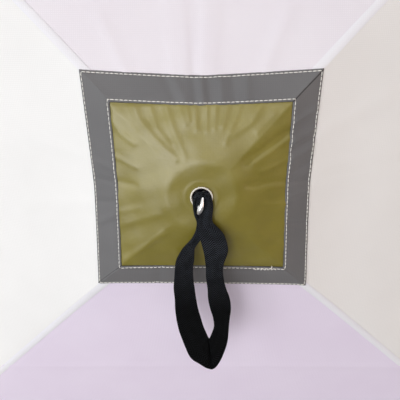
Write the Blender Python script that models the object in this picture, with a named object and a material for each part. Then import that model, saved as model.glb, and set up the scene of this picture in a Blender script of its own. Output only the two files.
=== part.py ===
"""Winter cube shelter: five hub-and-pole faces under tension, a snow skirt and a zipped door.

Units are metres, +Z is up, and the origin is on the ground under the middle of the shelter.
Each face has a frame of its own: u runs across it, v runs up it and n points outward.
A face is a shallow pyramid of four panels, held out by four poles that hinge on one hub.
"""

from math import atan, atan2, cos, hypot, pi, radians, sin, sqrt, tan

import bmesh
import bpy
from mathutils import Matrix, Vector

# Driving sizes of the whole shelter
SIDE = 1.80
BULGE = 0.23
FABRIC_THICKNESS = 0.0015
FIT_GAP = 0.0003
MITRE_GAP = 0.0002

# Snow skirt
SKIRT_WIDTH = 0.20
SKIRT_INNER_LAP = 0.025
SKIRT_THICKNESS = 0.0015

# Hub plate, with four pairs of ears on its inner side and a bar across its middle
HUB_RISE = 0.010
HUB_RADIUS = 0.038
HUB_THICKNESS = 0.005
HUB_CHAMFER = 0.0015
HUB_HOLE_RADIUS = 0.0098
PIN_CIRCLE_RADIUS = 0.027
PIN_RADIUS = 0.0024
PIN_GAP = 0.0003
EYE_RADIUS = 0.006
EYE_WIDTH = 0.006
EAR_WIDTH = 0.0035
EAR_RADIUS = 0.0065
EAR_SIDE_GAP = 0.0004
BAR_RADIUS = 0.002

# Poles
ROD_RADIUS = 0.00475
FERRULE_RADIUS = 0.0059
FERRULE_LENGTH = 0.055
TIP_RADIUS = 0.006
TIP_LENGTH = 0.038
TIP_TO_CORNER = 0.035
EYE_NECK = 0.008

# Reinforcing patch, and the metal eyelet through its middle
PATCH_SIDE = 0.26
PATCH_THICKNESS = 0.0012
PATCH_EDGE_BOW = 0.04
SLOPE_START = 0.17
EYELET_RADIUS = 0.0125
EYELET_HOLE_RADIUS = 0.009
EYELET_WALL = 0.0009
EYELET_FLANGE = 0.0012
EYELET_BACK_FLANGE = 0.0008
EYELET_RECESS_DEPTH = 0.002
EYELET_RECESS_GAP = 0.0011

# Oval ring that hangs on the hub's bar and comes out through the eyelet
RING_WIDTH = 0.017
RING_LENGTH = 0.026
RING_WIRE_RADIUS = 0.0016
RING_TILT = radians(25)
RING_REACH = 0.022

# Pull strap: one loop of webbing through the ring, its left side passing behind its right one
STRAP_THICKNESS = 0.0016
STRAP_BUNCHED_THICKNESS = 0.003
STRAP_BUNCHED_LENGTH = 0.045
STRAP_TOP_WIDTH = 0.0060
STRAP_STATIONS_PER_SPAN = 2

# Corner caps at the top
CAP_REACH = 0.095
CAP_THICKNESS = 0.0012

# Door in the right wall's lower panel, and the two clear windows
DOOR_SILL = 0.06
DOOR_TOP = 0.66
DOOR_RIDGE_MARGIN = 0.10
ZIP_TAPE_WIDTH = 0.030
SEAM_GAP = 0.0005
LEAF_CORNER_CUT = 0.004
SLIDER_LENGTH = 0.018
SLIDER_WIDTH = 0.011
SLIDER_HEIGHT = 0.005
SLIDER_TAPER = 0.7
SLIDER_START = 0.03
TAB_LENGTH = 0.032
TAB_WIDTH = 0.007
TAB_THICKNESS = 0.0015
WINDOW_WIDTH = 0.30
WINDOW_HEIGHT = 0.20
WINDOW_FROM_EDGE = 0.28
WINDOW_LAP = 0.014
WINDOW_THICKNESS = 0.001

# Facets
FACE_DIRECTIONS = 16
DISC_SEGMENTS = 20
EYELET_SEGMENTS = 16
POLE_SIDES = 8
PIN_SIDES = 12
BAR_SIDES = 8
EYE_STEPS = 6
EYE_MOUTH_ANGLE = radians(60)
RING_SIDES = 6
RING_BEND_STEPS = 6
SHARP_ANGLE = radians(35)

# Worked out from the sizes above
HALF_SIDE = SIDE / 2
PANEL_SLOPE = atan(BULGE / HALF_SIDE)
POLE_SLOPE = atan(BULGE / (HALF_SIDE * sqrt(2)))
MITRE_SHARE = 1 / (1 + BULGE / HALF_SIDE)
PANEL_LENGTH = hypot(HALF_SIDE, BULGE)
WALL_FOOT = SKIRT_THICKNESS + FIT_GAP
PLATEAU_N = BULGE + HUB_RISE
PLATEAU_RADIUS = (HUB_RADIUS + FIT_GAP) / cos(pi / FACE_DIRECTIONS)
DISC_FACE_N = PLATEAU_N - FABRIC_THICKNESS - FIT_GAP
POLE_DROP = FABRIC_THICKNESS + (TIP_RADIUS + FIT_GAP) / cos(PANEL_SLOPE)
PIN_N = BULGE - POLE_DROP - PIN_CIRCLE_RADIUS * tan(POLE_SLOPE)
POLE_REACH = (sqrt(2) * (HALF_SIDE - TIP_TO_CORNER) - PIN_CIRCLE_RADIUS) / cos(POLE_SLOPE)
BARREL_RADIUS = EYELET_HOLE_RADIUS + EYELET_WALL
FABRIC_HOLE_RADIUS = BARREL_RADIUS + FIT_GAP
RING_TOP_N = BULGE + RING_REACH
RING_MIDDLE_N = RING_TOP_N - RING_LENGTH / 2
RING_BEND_N = RING_TOP_N - RING_WIDTH / 2
BAR_N = RING_TOP_N - RING_LENGTH + 2 * RING_WIRE_RADIUS + FIT_GAP + BAR_RADIUS

# The strap's middle line from the ring, down the left side, round the fold and up the right side.
# Each row: u, v and n from the strap's top, its width and the width's direction.
STRAP_LINE = [
    (0.0000, 0.0000, 0.0000, STRAP_TOP_WIDTH, 65),
    (-0.0066, -0.0026, 0.0000, 0.0062, 122),
    (-0.0095, -0.0160, -0.0005, 0.0100, 172),
    (-0.0066, -0.0250, 0.0000, 0.0095, 178),
    (-0.0013, -0.0340, 0.0004, 0.0100, 180),
    (-0.0060, -0.0480, 0.0000, 0.0108, 177),
    (-0.0172, -0.0670, 0.0000, 0.0173, 176),
    (-0.0208, -0.0860, 0.0000, 0.0210, 180),
    (-0.0208, -0.1170, 0.0000, 0.0248, 181),
    (-0.0184, -0.1430, 0.0000, 0.0274, 186),
    (-0.0130, -0.1700, 0.0000, 0.0308, 197),
    (-0.0050, -0.1930, 0.0000, 0.0345, 228),
    (0.0060, -0.2030, 0.0000, 0.0430, 266),
    (0.0136, -0.1990, 0.0000, 0.0385, 289),
    (0.0202, -0.1810, 0.0000, 0.0232, 328),
    (0.0224, -0.1620, 0.0000, 0.0182, 355),
    (0.0212, -0.1380, 0.0000, 0.0245, 360),
    (0.0162, -0.1080, 0.0000, 0.0212, 360),
    (0.0140, -0.0850, 0.0008, 0.0194, 360),
    (0.0156, -0.0640, 0.0022, 0.0224, 361),
    (0.0130, -0.0480, 0.0036, 0.0270, 363),
    (0.0078, -0.0345, 0.0044, 0.0210, 365),
    (0.0086, -0.0200, 0.0036, 0.0116, 376),
    (0.0076, -0.0042, 0.0000, 0.0058, 398),
]

WALL_CORNERS = ("lower_left", "lower_right", "upper_right", "upper_left")
ROOF_CORNERS = ("front_left", "front_right", "back_right", "back_left")
CORNER_SIGNS = ((-1, -1), (1, -1), (1, 1), (-1, 1))

MATERIALS = {
    "white_fabric": ((0.88, 0.86, 0.88), 0.85, 0.0),
    "grey_fabric": ((0.20, 0.20, 0.21), 0.9, 0.0),
    "olive_fabric": ((0.38, 0.34, 0.17), 0.9, 0.0),
    "clear_film": ((0.75, 0.82, 0.86), 0.15, 0.0),
    "black_webbing": ((0.008, 0.008, 0.008), 0.8, 0.0),
    "glass_fibre": ((0.55, 0.52, 0.42), 0.35, 0.0),
    "black_nylon": ((0.02, 0.02, 0.022), 0.45, 0.0),
    "cream_enamel": ((0.78, 0.74, 0.64), 0.35, 0.2),
    "steel": ((0.62, 0.62, 0.63), 0.22, 1.0),
}


def clear_scene():
    """Removes whatever the new file starts with."""
    for thing in list(bpy.data.objects):
        bpy.data.objects.remove(thing)


def material(name):
    """One plain material from the table, made the first time it is asked for."""
    found = bpy.data.materials.get(name)
    if found:
        return found
    colour, roughness, metallic = MATERIALS[name]
    made = bpy.data.materials.new(name)
    made.use_nodes = True
    shader = made.node_tree.nodes["Principled BSDF"]
    shader.inputs["Base Color"].default_value = (*colour, 1)
    shader.inputs["Roughness"].default_value = roughness
    shader.inputs["Metallic"].default_value = metallic
    return made


def mesh_of(name, points, faces, smooth=False):
    """A closed mesh with its faces turned outward."""
    mesh = bpy.data.meshes.new(name)
    mesh.from_pydata([tuple(p) for p in points], [], faces)
    shell = bmesh.new()
    shell.from_mesh(mesh)
    bmesh.ops.recalc_face_normals(shell, faces=shell.faces)
    shell.to_mesh(mesh)
    shell.free()
    if smooth:
        mesh.shade_smooth()
        mesh.set_sharp_from_angle(angle=SHARP_ANGLE)
    return mesh


def place(name, mesh, coat, parent=None, at=None):
    """One named object with one material, under its parent empty."""
    thing = bpy.data.objects.new(name, mesh)
    bpy.context.scene.collection.objects.link(thing)
    if not mesh.materials:
        mesh.materials.append(material(coat))
    thing.parent = parent
    if at is not None:
        thing.matrix_local = at
    return thing


def empty(name, at, parent=None):
    """A guide that carries pieces and marks a frame or a joint's axis."""
    guide = bpy.data.objects.new(name, None)
    bpy.context.scene.collection.objects.link(guide)
    guide.parent = parent
    guide.matrix_local = at
    return guide


def axes(origin, x, y, z):
    """A matrix from an origin and three unit directions."""
    rows = [(x[i], y[i], z[i], origin[i]) for i in range(3)]
    return Matrix(rows + [(0, 0, 0, 1)])


def combine(name, base, others, operation, smooth=True):
    """One mesh from a base mesh and others that are added to it or cut from it."""
    body = bpy.data.objects.new(name, base)
    bpy.context.scene.collection.objects.link(body)
    helpers = []
    for other in others:
        helper = bpy.data.objects.new(name + "_other", other)
        bpy.context.scene.collection.objects.link(helper)
        helpers.append(helper)
        step = body.modifiers.new("step", "BOOLEAN")
        step.operation = operation
        step.object = helper
    seen = body.evaluated_get(bpy.context.evaluated_depsgraph_get())
    mesh = bpy.data.meshes.new_from_object(seen)
    mesh.name = name
    mesh.materials.clear()
    for thing in [body, *helpers]:
        bpy.data.objects.remove(thing)
    if smooth:
        mesh.shade_smooth()
        mesh.set_sharp_from_angle(angle=SHARP_ANGLE)
    return mesh


def turned(name, profile, segments):
    """A closed profile of (radius, height) points, turned about Z."""
    points = []
    faces = []
    count = len(profile)
    for s in range(segments):
        angle = 2 * pi * s / segments
        points += [(r * cos(angle), r * sin(angle), z) for r, z in profile]
        ahead = (s + 1) % segments
        for i in range(count):
            j = (i + 1) % count
            faces.append((s * count + i, s * count + j, ahead * count + j, ahead * count + i))
    return mesh_of(name, points, faces, smooth=True)


def rod(name, profile, sides):
    """A solid of revolution about X, from (x, radius) points, closed at both ends."""
    points = []
    faces = []
    for x, r in profile:
        for s in range(sides):
            angle = 2 * pi * (s + 0.5) / sides
            points.append((x, r * cos(angle), r * sin(angle)))
    for i in range(len(profile) - 1):
        for s in range(sides):
            t = (s + 1) % sides
            faces.append((i * sides + s, i * sides + t, (i + 1) * sides + t, (i + 1) * sides + s))
    last = (len(profile) - 1) * sides
    faces.append(tuple(range(sides)))
    faces.append(tuple(range(last, last + sides)))
    return mesh_of(name, points, faces, smooth=True)


def prism(name, outline, low, high, at=None):
    """An outline of (x, y) points raised from low to high along Z."""
    count = len(outline)
    points = [Vector((x, y, low)) for x, y in outline] + [Vector((x, y, high)) for x, y in outline]
    if at is not None:
        points = [at @ p for p in points]
    faces = [tuple(range(count)), tuple(range(count, 2 * count))]
    faces += [(i, (i + 1) % count, count + (i + 1) % count, count + i) for i in range(count)]
    return mesh_of(name, points, faces)


def frame_plate(name, outer, inner, low, high):
    """A flat plate with an opening, both outlines having as many points."""
    count = len(outer)
    points = []
    for z in (low, high):
        points += [(x, y, z) for x, y in outer]
        points += [(x, y, z) for x, y in inner]
    faces = []
    for i in range(count):
        j = (i + 1) % count
        faces.append((i, j, count + j, count + i))
        faces.append((2 * count + i, 2 * count + j, 3 * count + j, 3 * count + i))
        faces.append((i, j, 2 * count + j, 2 * count + i))
        faces.append((count + i, count + j, 3 * count + j, 3 * count + i))
    return mesh_of(name, points, faces)


def inset(outline, distance):
    """A convex anticlockwise outline with each side moved inward."""
    count = len(outline)
    lines = []
    for i in range(count):
        a = Vector(outline[i])
        d = (Vector(outline[(i + 1) % count]) - a).normalized()
        lines.append((a + Vector((-d.y, d.x)) * distance, d))
    moved = []
    for i in range(count):
        (p, d), (q, e) = lines[i - 1], lines[i]
        along = ((q - p).x * e.y - (q - p).y * e.x) / (d.x * e.y - d.y * e.x)
        moved.append(tuple(p + d * along))
    return moved


def directions():
    """Unit directions round a face, as a circle and as a square."""
    for k in range(FACE_DIRECTIONS):
        angle = 2 * pi * k / FACE_DIRECTIONS
        c, s = cos(angle), sin(angle)
        most = max(abs(c), abs(s))
        yield (c, s), (round(c / most, 9), round(s / most, 9))


def panel_n(reach):
    """How far the outside of a panel stands out, at a reach from the face's middle."""
    return BULGE * (1 - reach / HALF_SIDE)


def skin_edge(square, offset, has_foot):
    """A point on a face's border, on the mitre with its neighbour or at the wall's foot."""
    n = offset * MITRE_SHARE
    limit = HALF_SIDE - MITRE_GAP + n
    u, v = square[0] * limit, square[1] * limit
    if has_foot and square[1] == -1:
        v = WALL_FOOT - HALF_SIDE
        if abs(square[0]) < 1:
            n = panel_n(-v) + offset
    return Vector((u, v, n))


def cone_n(square, reach):
    """The cloth's height where it falls from the hub's edge to the flat of the panels."""
    long = hypot(*square)
    start, end = PLATEAU_RADIUS, SLOPE_START * long
    share = (reach * long - start) / (end - start)
    return PLATEAU_N + share * (panel_n(SLOPE_START) - PLATEAU_N)


def middle_rings(offset):
    """Rings of points that skin and patch share: the hole, the hub's edge and the patch's border."""
    rings = [[], [], []]
    for circle, square in directions():
        for ring, radius in ((0, FABRIC_HOLE_RADIUS), (1, PLATEAU_RADIUS)):
            rings[ring].append(Vector((circle[0] * radius, circle[1] * radius, PLATEAU_N + offset)))
        from_corner = 1 - min(abs(square[0]), abs(square[1])) ** 2
        reach = PATCH_SIDE / 2 * (1 - PATCH_EDGE_BOW * from_corner)
        rings[2].append(Vector((square[0] * reach, square[1] * reach, cone_n(square, reach) + offset)))
    return rings


def skin_rings(offset, has_foot):
    """Rings of points on a face's skin, from the eyelet's hole out to the border."""
    slope, edge = [], []
    for _, square in directions():
        u, v = square[0] * SLOPE_START, square[1] * SLOPE_START
        slope.append(Vector((u, v, panel_n(SLOPE_START) + offset)))
        edge.append(skin_edge(square, offset, has_foot))
    return middle_rings(offset) + [slope, edge]


def shell_between(name, outer_rings, inner_rings):
    """A thin closed shell with a hole in its middle, from matching rings on its two sides."""
    loops = outer_rings + inner_rings[::-1]
    count = len(loops[0])
    points = [p for ring in loops for p in ring]
    faces = []
    for r in range(len(loops)):
        ahead = (r + 1) % len(loops)
        for k in range(count):
            j = (k + 1) % count
            a, b = r * count + k, r * count + j
            c, d = ahead * count + j, ahead * count + k
            faces += [(a, b, c), (a, c, d)] if (k // 2) % 2 else [(a, b, d), (b, c, d)]
    return mesh_of(name, points, faces)


def lower_panel_frame():
    """Frame of a wall's lower panel: x along its foot, y up its slope, z outward."""
    up = Vector((0, HALF_SIDE, BULGE)) / PANEL_LENGTH
    out = Vector((0, -BULGE, HALF_SIDE)) / PANEL_LENGTH
    return axes(Vector((0, -HALF_SIDE, 0)), Vector((1, 0, 0)), up, out)


def upper_panel_frame():
    """Frame of a wall's upper panel: y runs down its slope to the hub, z outward."""
    down = Vector((0, -HALF_SIDE, BULGE)) / PANEL_LENGTH
    out = Vector((0, BULGE, HALF_SIDE)) / PANEL_LENGTH
    return axes(Vector((0, HALF_SIDE, 0)), Vector((-1, 0, 0)), down, out)


def door_outline():
    """The door's opening, with two sides beside the panel's ridges."""
    def half_width(y):
        return HALF_SIDE * (1 - y / PANEL_LENGTH) - DOOR_RIDGE_MARGIN

    low, high = half_width(DOOR_SILL), half_width(DOOR_TOP)
    return [(-low, DOOR_SILL), (low, DOOR_SILL), (high, DOOR_TOP), (-high, DOOR_TOP)]


def window_outline(lap):
    """A window's rectangle in the upper panel, grown by a lap."""
    x, low = WINDOW_WIDTH / 2 + lap, WINDOW_FROM_EDGE - lap
    high = WINDOW_FROM_EDGE + WINDOW_HEIGHT + lap
    return [(-x, low), (x, low), (x, high), (-x, high)]


def add_skin(face, frame, has_foot, has_door, has_window):
    """A face's fabric, with its door and window cut out."""
    mesh = shell_between("skin_" + face, skin_rings(0, has_foot), skin_rings(-FABRIC_THICKNESS, has_foot))
    cutters = []
    deep = 4 * FABRIC_THICKNESS
    if has_door:
        cutters.append(prism("door_cut", door_outline(), -deep, deep, lower_panel_frame()))
    if has_window:
        cutters.append(prism("window_cut", window_outline(0), -deep, deep, upper_panel_frame()))
    if cutters:
        mesh = combine("skin_" + face, mesh, cutters, "DIFFERENCE", smooth=False)
    place("skin_" + face, mesh, "white_fabric", frame)


def add_patch(face, frame):
    """The square patch sewn over the hub."""
    low = FIT_GAP
    mesh = shell_between("patch_" + face, middle_rings(low + PATCH_THICKNESS), middle_rings(low))
    place("hub_patch_" + face, mesh, "olive_fabric", frame)


def hub_mesh():
    """The plate with its ears, their pins and the bar that the ring hangs on, as one moulding."""
    recess = EYELET_RADIUS + EYELET_RECESS_GAP
    plate = turned("hub", [
        (HUB_HOLE_RADIUS, -EYELET_RECESS_DEPTH),
        (recess, -EYELET_RECESS_DEPTH),
        (recess, 0),
        (HUB_RADIUS - HUB_CHAMFER, 0),
        (HUB_RADIUS, -HUB_CHAMFER),
        (HUB_RADIUS, -HUB_THICKNESS),
        (HUB_HOLE_RADIUS, -HUB_THICKNESS),
    ], DISC_SEGMENTS)
    pin_depth = PIN_N - DISC_FACE_N
    ear_start = EYE_WIDTH / 2 + EAR_SIDE_GAP
    ear_end = ear_start + EAR_WIDTH
    root_depth = -HUB_THICKNESS / 2
    low_point = pin_depth - EAR_RADIUS
    outline = [
        (PIN_CIRCLE_RADIUS - EAR_RADIUS, root_depth),
        (PIN_CIRCLE_RADIUS - EAR_RADIUS, pin_depth - EAR_RADIUS / 2),
        (PIN_CIRCLE_RADIUS - EAR_RADIUS / 2, low_point),
        (PIN_CIRCLE_RADIUS + EAR_RADIUS / 2, low_point),
        (PIN_CIRCLE_RADIUS + EAR_RADIUS, pin_depth - EAR_RADIUS / 2),
        (PIN_CIRCLE_RADIUS + EAR_RADIUS, root_depth),
    ]
    extras = []
    for k in range(4):
        turn = Matrix.Rotation(pi / 4 + k * pi / 2, 4, "Z")
        upright = turn @ Matrix.Rotation(pi / 2, 4, "X")
        for side in (-1, 1):
            low, high = sorted((side * ear_start, side * ear_end))
            extras.append(prism("ear", outline, low, high, upright))
        at_pin = turn @ Matrix.Translation((PIN_CIRCLE_RADIUS, 0, pin_depth))
        pin = rod("pin", [(-ear_end + FIT_GAP, PIN_RADIUS), (ear_end - FIT_GAP, PIN_RADIUS)], PIN_SIDES)
        pin.transform(at_pin @ Matrix.Rotation(pi / 2, 4, "Z"))
        extras.append(pin)
    bar_half = HUB_HOLE_RADIUS + BAR_RADIUS
    bar = rod("bar", [(-bar_half, BAR_RADIUS), (bar_half, BAR_RADIUS)], BAR_SIDES)
    bar_depth = BAR_N - DISC_FACE_N
    bar.transform(Matrix.Translation((0, 0, bar_depth)) @ Matrix.Rotation(-RING_TILT, 4, "Z"))
    extras.append(bar)
    return combine("hub", plate, extras, "UNION")


def pole_mesh():
    """A glass-fibre pole from its eye, on the joint's axis, to the cap on its tip."""
    body = rod("pole", [
        (EYE_RADIUS, EYE_WIDTH / 2),
        (EYE_RADIUS + EYE_NECK / 2, FERRULE_RADIUS),
        (FERRULE_LENGTH, FERRULE_RADIUS),
        (FERRULE_LENGTH + 2 * (FERRULE_RADIUS - ROD_RADIUS), ROD_RADIUS),
        (POLE_REACH - TIP_LENGTH, ROD_RADIUS),
        (POLE_REACH - TIP_LENGTH, TIP_RADIUS),
        (POLE_REACH - TIP_RADIUS, TIP_RADIUS),
        (POLE_REACH, TIP_RADIUS / 2),
    ], POLE_SIDES)
    flat = Matrix.Rotation(pi / 2, 4, "X")
    neck = EYE_RADIUS + EYE_NECK / 2
    outline = [(neck, -EYE_RADIUS / 2), (neck, EYE_RADIUS / 2)]
    for k in range(EYE_STEPS + 1):
        angle = EYE_MOUTH_ANGLE + 2 * (pi - EYE_MOUTH_ANGLE) * k / EYE_STEPS
        outline.append((EYE_RADIUS * cos(angle), EYE_RADIUS * sin(angle)))
    plate = prism("eye", outline, -EYE_WIDTH / 2, EYE_WIDTH / 2, flat)
    hole_radius = PIN_RADIUS + PIN_GAP
    hole = rod("eye_hole", [(-EYE_WIDTH, hole_radius), (EYE_WIDTH, hole_radius)], PIN_SIDES)
    hole.transform(Matrix.Rotation(pi / 2, 4, "Z"))
    fused = combine("pole", body, [plate], "UNION")
    return combine("pole", fused, [hole], "DIFFERENCE")


def eyelet_mesh():
    """The eyelet: a flange outside, a barrel through the cloth and a flange behind it."""
    front = FIT_GAP + PATCH_THICKNESS + FIT_GAP
    back = -FABRIC_THICKNESS - FIT_GAP
    return turned("eyelet", [
        (EYELET_HOLE_RADIUS, back - EYELET_BACK_FLANGE),
        (EYELET_RADIUS, back - EYELET_BACK_FLANGE),
        (EYELET_RADIUS, back),
        (BARREL_RADIUS, back),
        (BARREL_RADIUS, front),
        (EYELET_RADIUS, front),
        (EYELET_RADIUS - EYELET_FLANGE / 3, front + EYELET_FLANGE * 0.75),
        ((EYELET_RADIUS + EYELET_HOLE_RADIUS) / 2, front + EYELET_FLANGE),
        (EYELET_HOLE_RADIUS, front + EYELET_FLANGE / 2),
    ], EYELET_SEGMENTS)


def ring_mesh():
    """The oval wire ring, standing out from the face, with its long way along Z."""
    bend = RING_WIDTH / 2 - RING_WIRE_RADIUS
    straight = RING_LENGTH / 2 - RING_WIDTH / 2
    middle = []
    for end in (1, -1):
        for k in range(RING_BEND_STEPS + 1):
            angle = pi * k / RING_BEND_STEPS
            middle.append((end * bend * cos(angle), end * (straight + bend * sin(angle))))
    points = []
    faces = []
    sides = RING_SIDES
    for i, (y, z) in enumerate(middle):
        before, after = middle[i - 1], middle[(i + 1) % len(middle)]
        along = Vector((0, after[0] - before[0], after[1] - before[1])).normalized()
        across = along.cross(Vector((1, 0, 0)))
        for s in range(sides):
            angle = 2 * pi * s / sides
            side = Vector((1, 0, 0)) * cos(angle) + across * sin(angle)
            points.append(Vector((0, y, z)) + side * RING_WIRE_RADIUS)
    for i in range(len(middle)):
        j = (i + 1) % len(middle)
        for s in range(sides):
            t = (s + 1) % sides
            faces.append((i * sides + s, i * sides + t, j * sides + t, j * sides + s))
    return mesh_of("ring", points, faces, smooth=True)


def strap_rows():
    """The strap's stations, with smooth ones worked out between those of STRAP_LINE."""
    rows = []
    count = len(STRAP_LINE)
    for i in range(count):
        around = []
        for j in (i - 1, i, i + 1, i + 2):
            lap, k = divmod(j, count)
            row = list(STRAP_LINE[k])
            row[4] += 360 * lap
            around.append(row)
        for s in range(STRAP_STATIONS_PER_SPAN):
            t = s / STRAP_STATIONS_PER_SPAN
            rows.append([
                b + t * (c - a) / 2 + t * t * (a - 2.5 * b + 2 * c - d / 2)
                + t ** 3 * (-a + 3 * b - 3 * c + d) / 2
                for a, b, c, d in zip(*around)
            ])
    return rows


def drape(v):
    """How far the cloth below the hub's edge has fallen, at a height v on the face's middle line."""
    reach = max(PLATEAU_RADIUS, -v)
    if reach < SLOPE_START:
        return cone_n((0, -1), reach) - PLATEAU_N
    return panel_n(reach) - PLATEAU_N


def strap_mesh(draped):
    """The loop of webbing, with the cloth's fall under it on the roof.

    It turns about the middle of the ring's outer bend, which it lies against.
    """
    bend_inside = (RING_WIDTH / 2 - RING_WIRE_RADIUS) * cos(pi / RING_BEND_STEPS / 2) - RING_WIRE_RADIUS
    top = sqrt((bend_inside - FIT_GAP) ** 2 - (STRAP_TOP_WIDTH / 2) ** 2) - STRAP_BUNCHED_THICKNESS / 2
    rows = strap_rows()
    count = len(rows)
    points = []
    for i, (u, v, n, width, heading) in enumerate(rows):
        across = Vector((cos(radians(heading)), sin(radians(heading)), 0))
        before, after = rows[i - 1], rows[(i + 1) % count]
        along = Vector((after[0] - before[0], after[1] - before[1], after[2] - before[2])).normalized()
        up = along.cross(across).normalized()
        bunched = max(0.0, min(1.0, 1 + v / STRAP_BUNCHED_LENGTH))
        thick = STRAP_THICKNESS + (STRAP_BUNCHED_THICKNESS - STRAP_THICKNESS) * bunched
        centre = Vector((u, v, top + n))
        for x, z in ((-1, -1), (1, -1), (1, 1), (-1, 1)):
            point = centre + across * (x * width / 2) + up * (z * thick / 2)
            if draped:
                point.z += drape(point.y)
            points.append(point)
    faces = []
    for i in range(count):
        j = (i + 1) % count
        for s in range(4):
            t = (s + 1) % 4
            faces.append((4 * i + s, 4 * i + t, 4 * j + t, 4 * j + s))
    return mesh_of("strap", points, faces)


def add_hub_and_poles(face, frame, corners, meshes):
    """A face's hub, its four poles, its eyelet, ring and strap."""
    def out(n):
        return Matrix.Translation((0, 0, n))

    place("hub_" + face, meshes["hub"], "black_nylon", frame, out(DISC_FACE_N))
    for k, corner in enumerate(corners):
        turn = Matrix.Rotation(atan2(CORNER_SIGNS[k][1], CORNER_SIGNS[k][0]), 4, "Z")
        at_pin = Matrix.Translation((PIN_CIRCLE_RADIUS, 0, PIN_N)) @ Matrix.Rotation(POLE_SLOPE, 4, "Y")
        carrier = empty(f"pin_{face}_{corner}", turn @ at_pin, frame)
        place(f"pole_{face}_{corner}", meshes["pole"], "glass_fibre", carrier)
    place("eyelet_" + face, meshes["eyelet"], "cream_enamel", frame, out(PLATEAU_N))
    ring_at = out(RING_MIDDLE_N) @ Matrix.Rotation(-RING_TILT, 4, "Z")
    place("strap_ring_" + face, meshes["ring"], "steel", frame, ring_at)
    carrier = empty("strap_axis_" + face, out(RING_BEND_N), frame)
    strap = meshes["draped_strap" if face == "roof" else "strap"]
    place("pull_strap_" + face, strap, "black_webbing", carrier)


def add_skirt():
    """The flat skirt that lies on the ground round the walls' feet."""
    def square(half):
        return [(-half, -half), (half, -half), (half, half), (-half, half)]

    outer, inner = square(HALF_SIDE + SKIRT_WIDTH), square(HALF_SIDE - SKIRT_INNER_LAP)
    place("snow_skirt", frame_plate("snow_skirt", outer, inner, 0, SKIRT_THICKNESS), "grey_fabric")


def add_corner_cap(name, x, y):
    """A cap over a top corner, laid on the three faces that meet there."""
    top = Vector((x * HALF_SIDE, y * HALF_SIDE, SIDE))
    sign = Vector((x, y, 1))

    def world(p):
        return Vector((top[i] + sign[i] * p[i] for i in range(3)))

    points = []
    for offset in (FIT_GAP + CAP_THICKNESS, FIT_GAP):
        edge = offset * MITRE_SHARE
        ridge = panel_n(HALF_SIDE - CAP_REACH) + offset
        points.append(world((edge, edge, edge)))
        for i in range(3):
            along = [edge, edge, edge]
            along[i] = -CAP_REACH
            points.append(world(along))
        for i in range(3):
            middle = [-CAP_REACH] * 3
            middle[i] = ridge
            points.append(world(middle))
    faces = []
    for i in range(3):
        first, second = 1 + (i + 1) % 3, 1 + (i + 2) % 3
        ridge = 4 + i
        for base in (0, 7):
            faces += [(base, base + first, base + ridge), (base, base + ridge, base + second)]
        faces += [(first, ridge, 7 + ridge, 7 + first), (ridge, second, 7 + second, 7 + ridge)]
    place(name, mesh_of(name, points, faces), "grey_fabric")


def add_door(frame):
    """The door in the right wall: its zip tape, its leaf and the zip's slider."""
    opening = door_outline()
    panel = lower_panel_frame()
    carrier = empty("door_foot_axis", panel, frame)
    tape_outer, tape_inner = inset(opening, SEAM_GAP), inset(opening, ZIP_TAPE_WIDTH)
    leaf = inset(opening, ZIP_TAPE_WIDTH + SEAM_GAP)
    thick = FABRIC_THICKNESS * cos(PANEL_SLOPE)
    tape = frame_plate("door_zip_tape", tape_outer, tape_inner, -thick, 0)
    place("door_zip_tape", tape, "grey_fabric", carrier)
    foot, head = Vector(leaf[0]), Vector(leaf[3])
    along = (head - foot).normalized()
    side = Vector((along.y, -along.x))
    sill = (Vector(leaf[1]) - foot).normalized()
    # The sharp corner is cut so that it clears the tape as the leaf turns.
    spots = [along * LEAF_CORNER_CUT, sill * LEAF_CORNER_CUT]
    spots += [Vector(p) - foot for p in leaf[1:]]
    local = [(p.dot(side), p.dot(along)) for p in spots]
    hinge_at = axes(Vector((*foot, 0)), Vector((*side, 0)), Vector((*along, 0)), Vector((0, 0, 1)))
    hinge = empty("door_hinge", hinge_at, carrier)
    place("door_leaf", prism("door_leaf", local, -thick, 0), "white_fabric", hinge)
    track = inset(opening, ZIP_TAPE_WIDTH / 2)
    start, end = Vector(track[1]), Vector(track[2])
    way = (end - start).normalized()
    at = Vector((*(start + way * SLIDER_START), FIT_GAP))
    slider_at = axes(at, Vector((way.y, -way.x, 0)), Vector((*way, 0)), Vector((0, 0, 1)))
    w, l = SLIDER_WIDTH / 2, SLIDER_LENGTH / 2
    head_w = w * SLIDER_TAPER
    body = prism("slider", [(-w, -l), (w, -l), (head_w, l), (-head_w, l)], 0, SLIDER_HEIGHT)
    t = TAB_WIDTH / 2
    tab_low = SLIDER_HEIGHT - 2 * TAB_THICKNESS
    tab_outline = [(-t, 0), (-t, -TAB_LENGTH), (t, -TAB_LENGTH), (t, 0)]
    tab = prism("tab", tab_outline, tab_low, tab_low + TAB_THICKNESS)
    place("zip_slider", combine("zip_slider", body, [tab], "UNION"), "steel", carrier, slider_at)


def add_window(face, frame):
    """A clear window laid over its cut, outside the skin."""
    mesh = prism("window_" + face, window_outline(WINDOW_LAP), FIT_GAP, FIT_GAP + WINDOW_THICKNESS)
    place("window_" + face, mesh, "clear_film", frame, upper_panel_frame())


def face_frames():
    """Each face's name, its frame and the names of its corners, from the lower left round."""
    up = Vector((0, 0, 1))
    walls = (("front", 0), ("right", 1), ("back", 2), ("left", 3))
    for name, quarter in walls:
        turn = Matrix.Rotation(quarter * pi / 2, 3, "Z")
        across, out = turn @ Vector((1, 0, 0)), turn @ Vector((0, -1, 0))
        middle = out * HALF_SIDE + up * HALF_SIDE
        yield name, axes(middle, across, up, out), WALL_CORNERS
    yield "roof", Matrix.Translation((0, 0, SIDE)), ROOF_CORNERS


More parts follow.
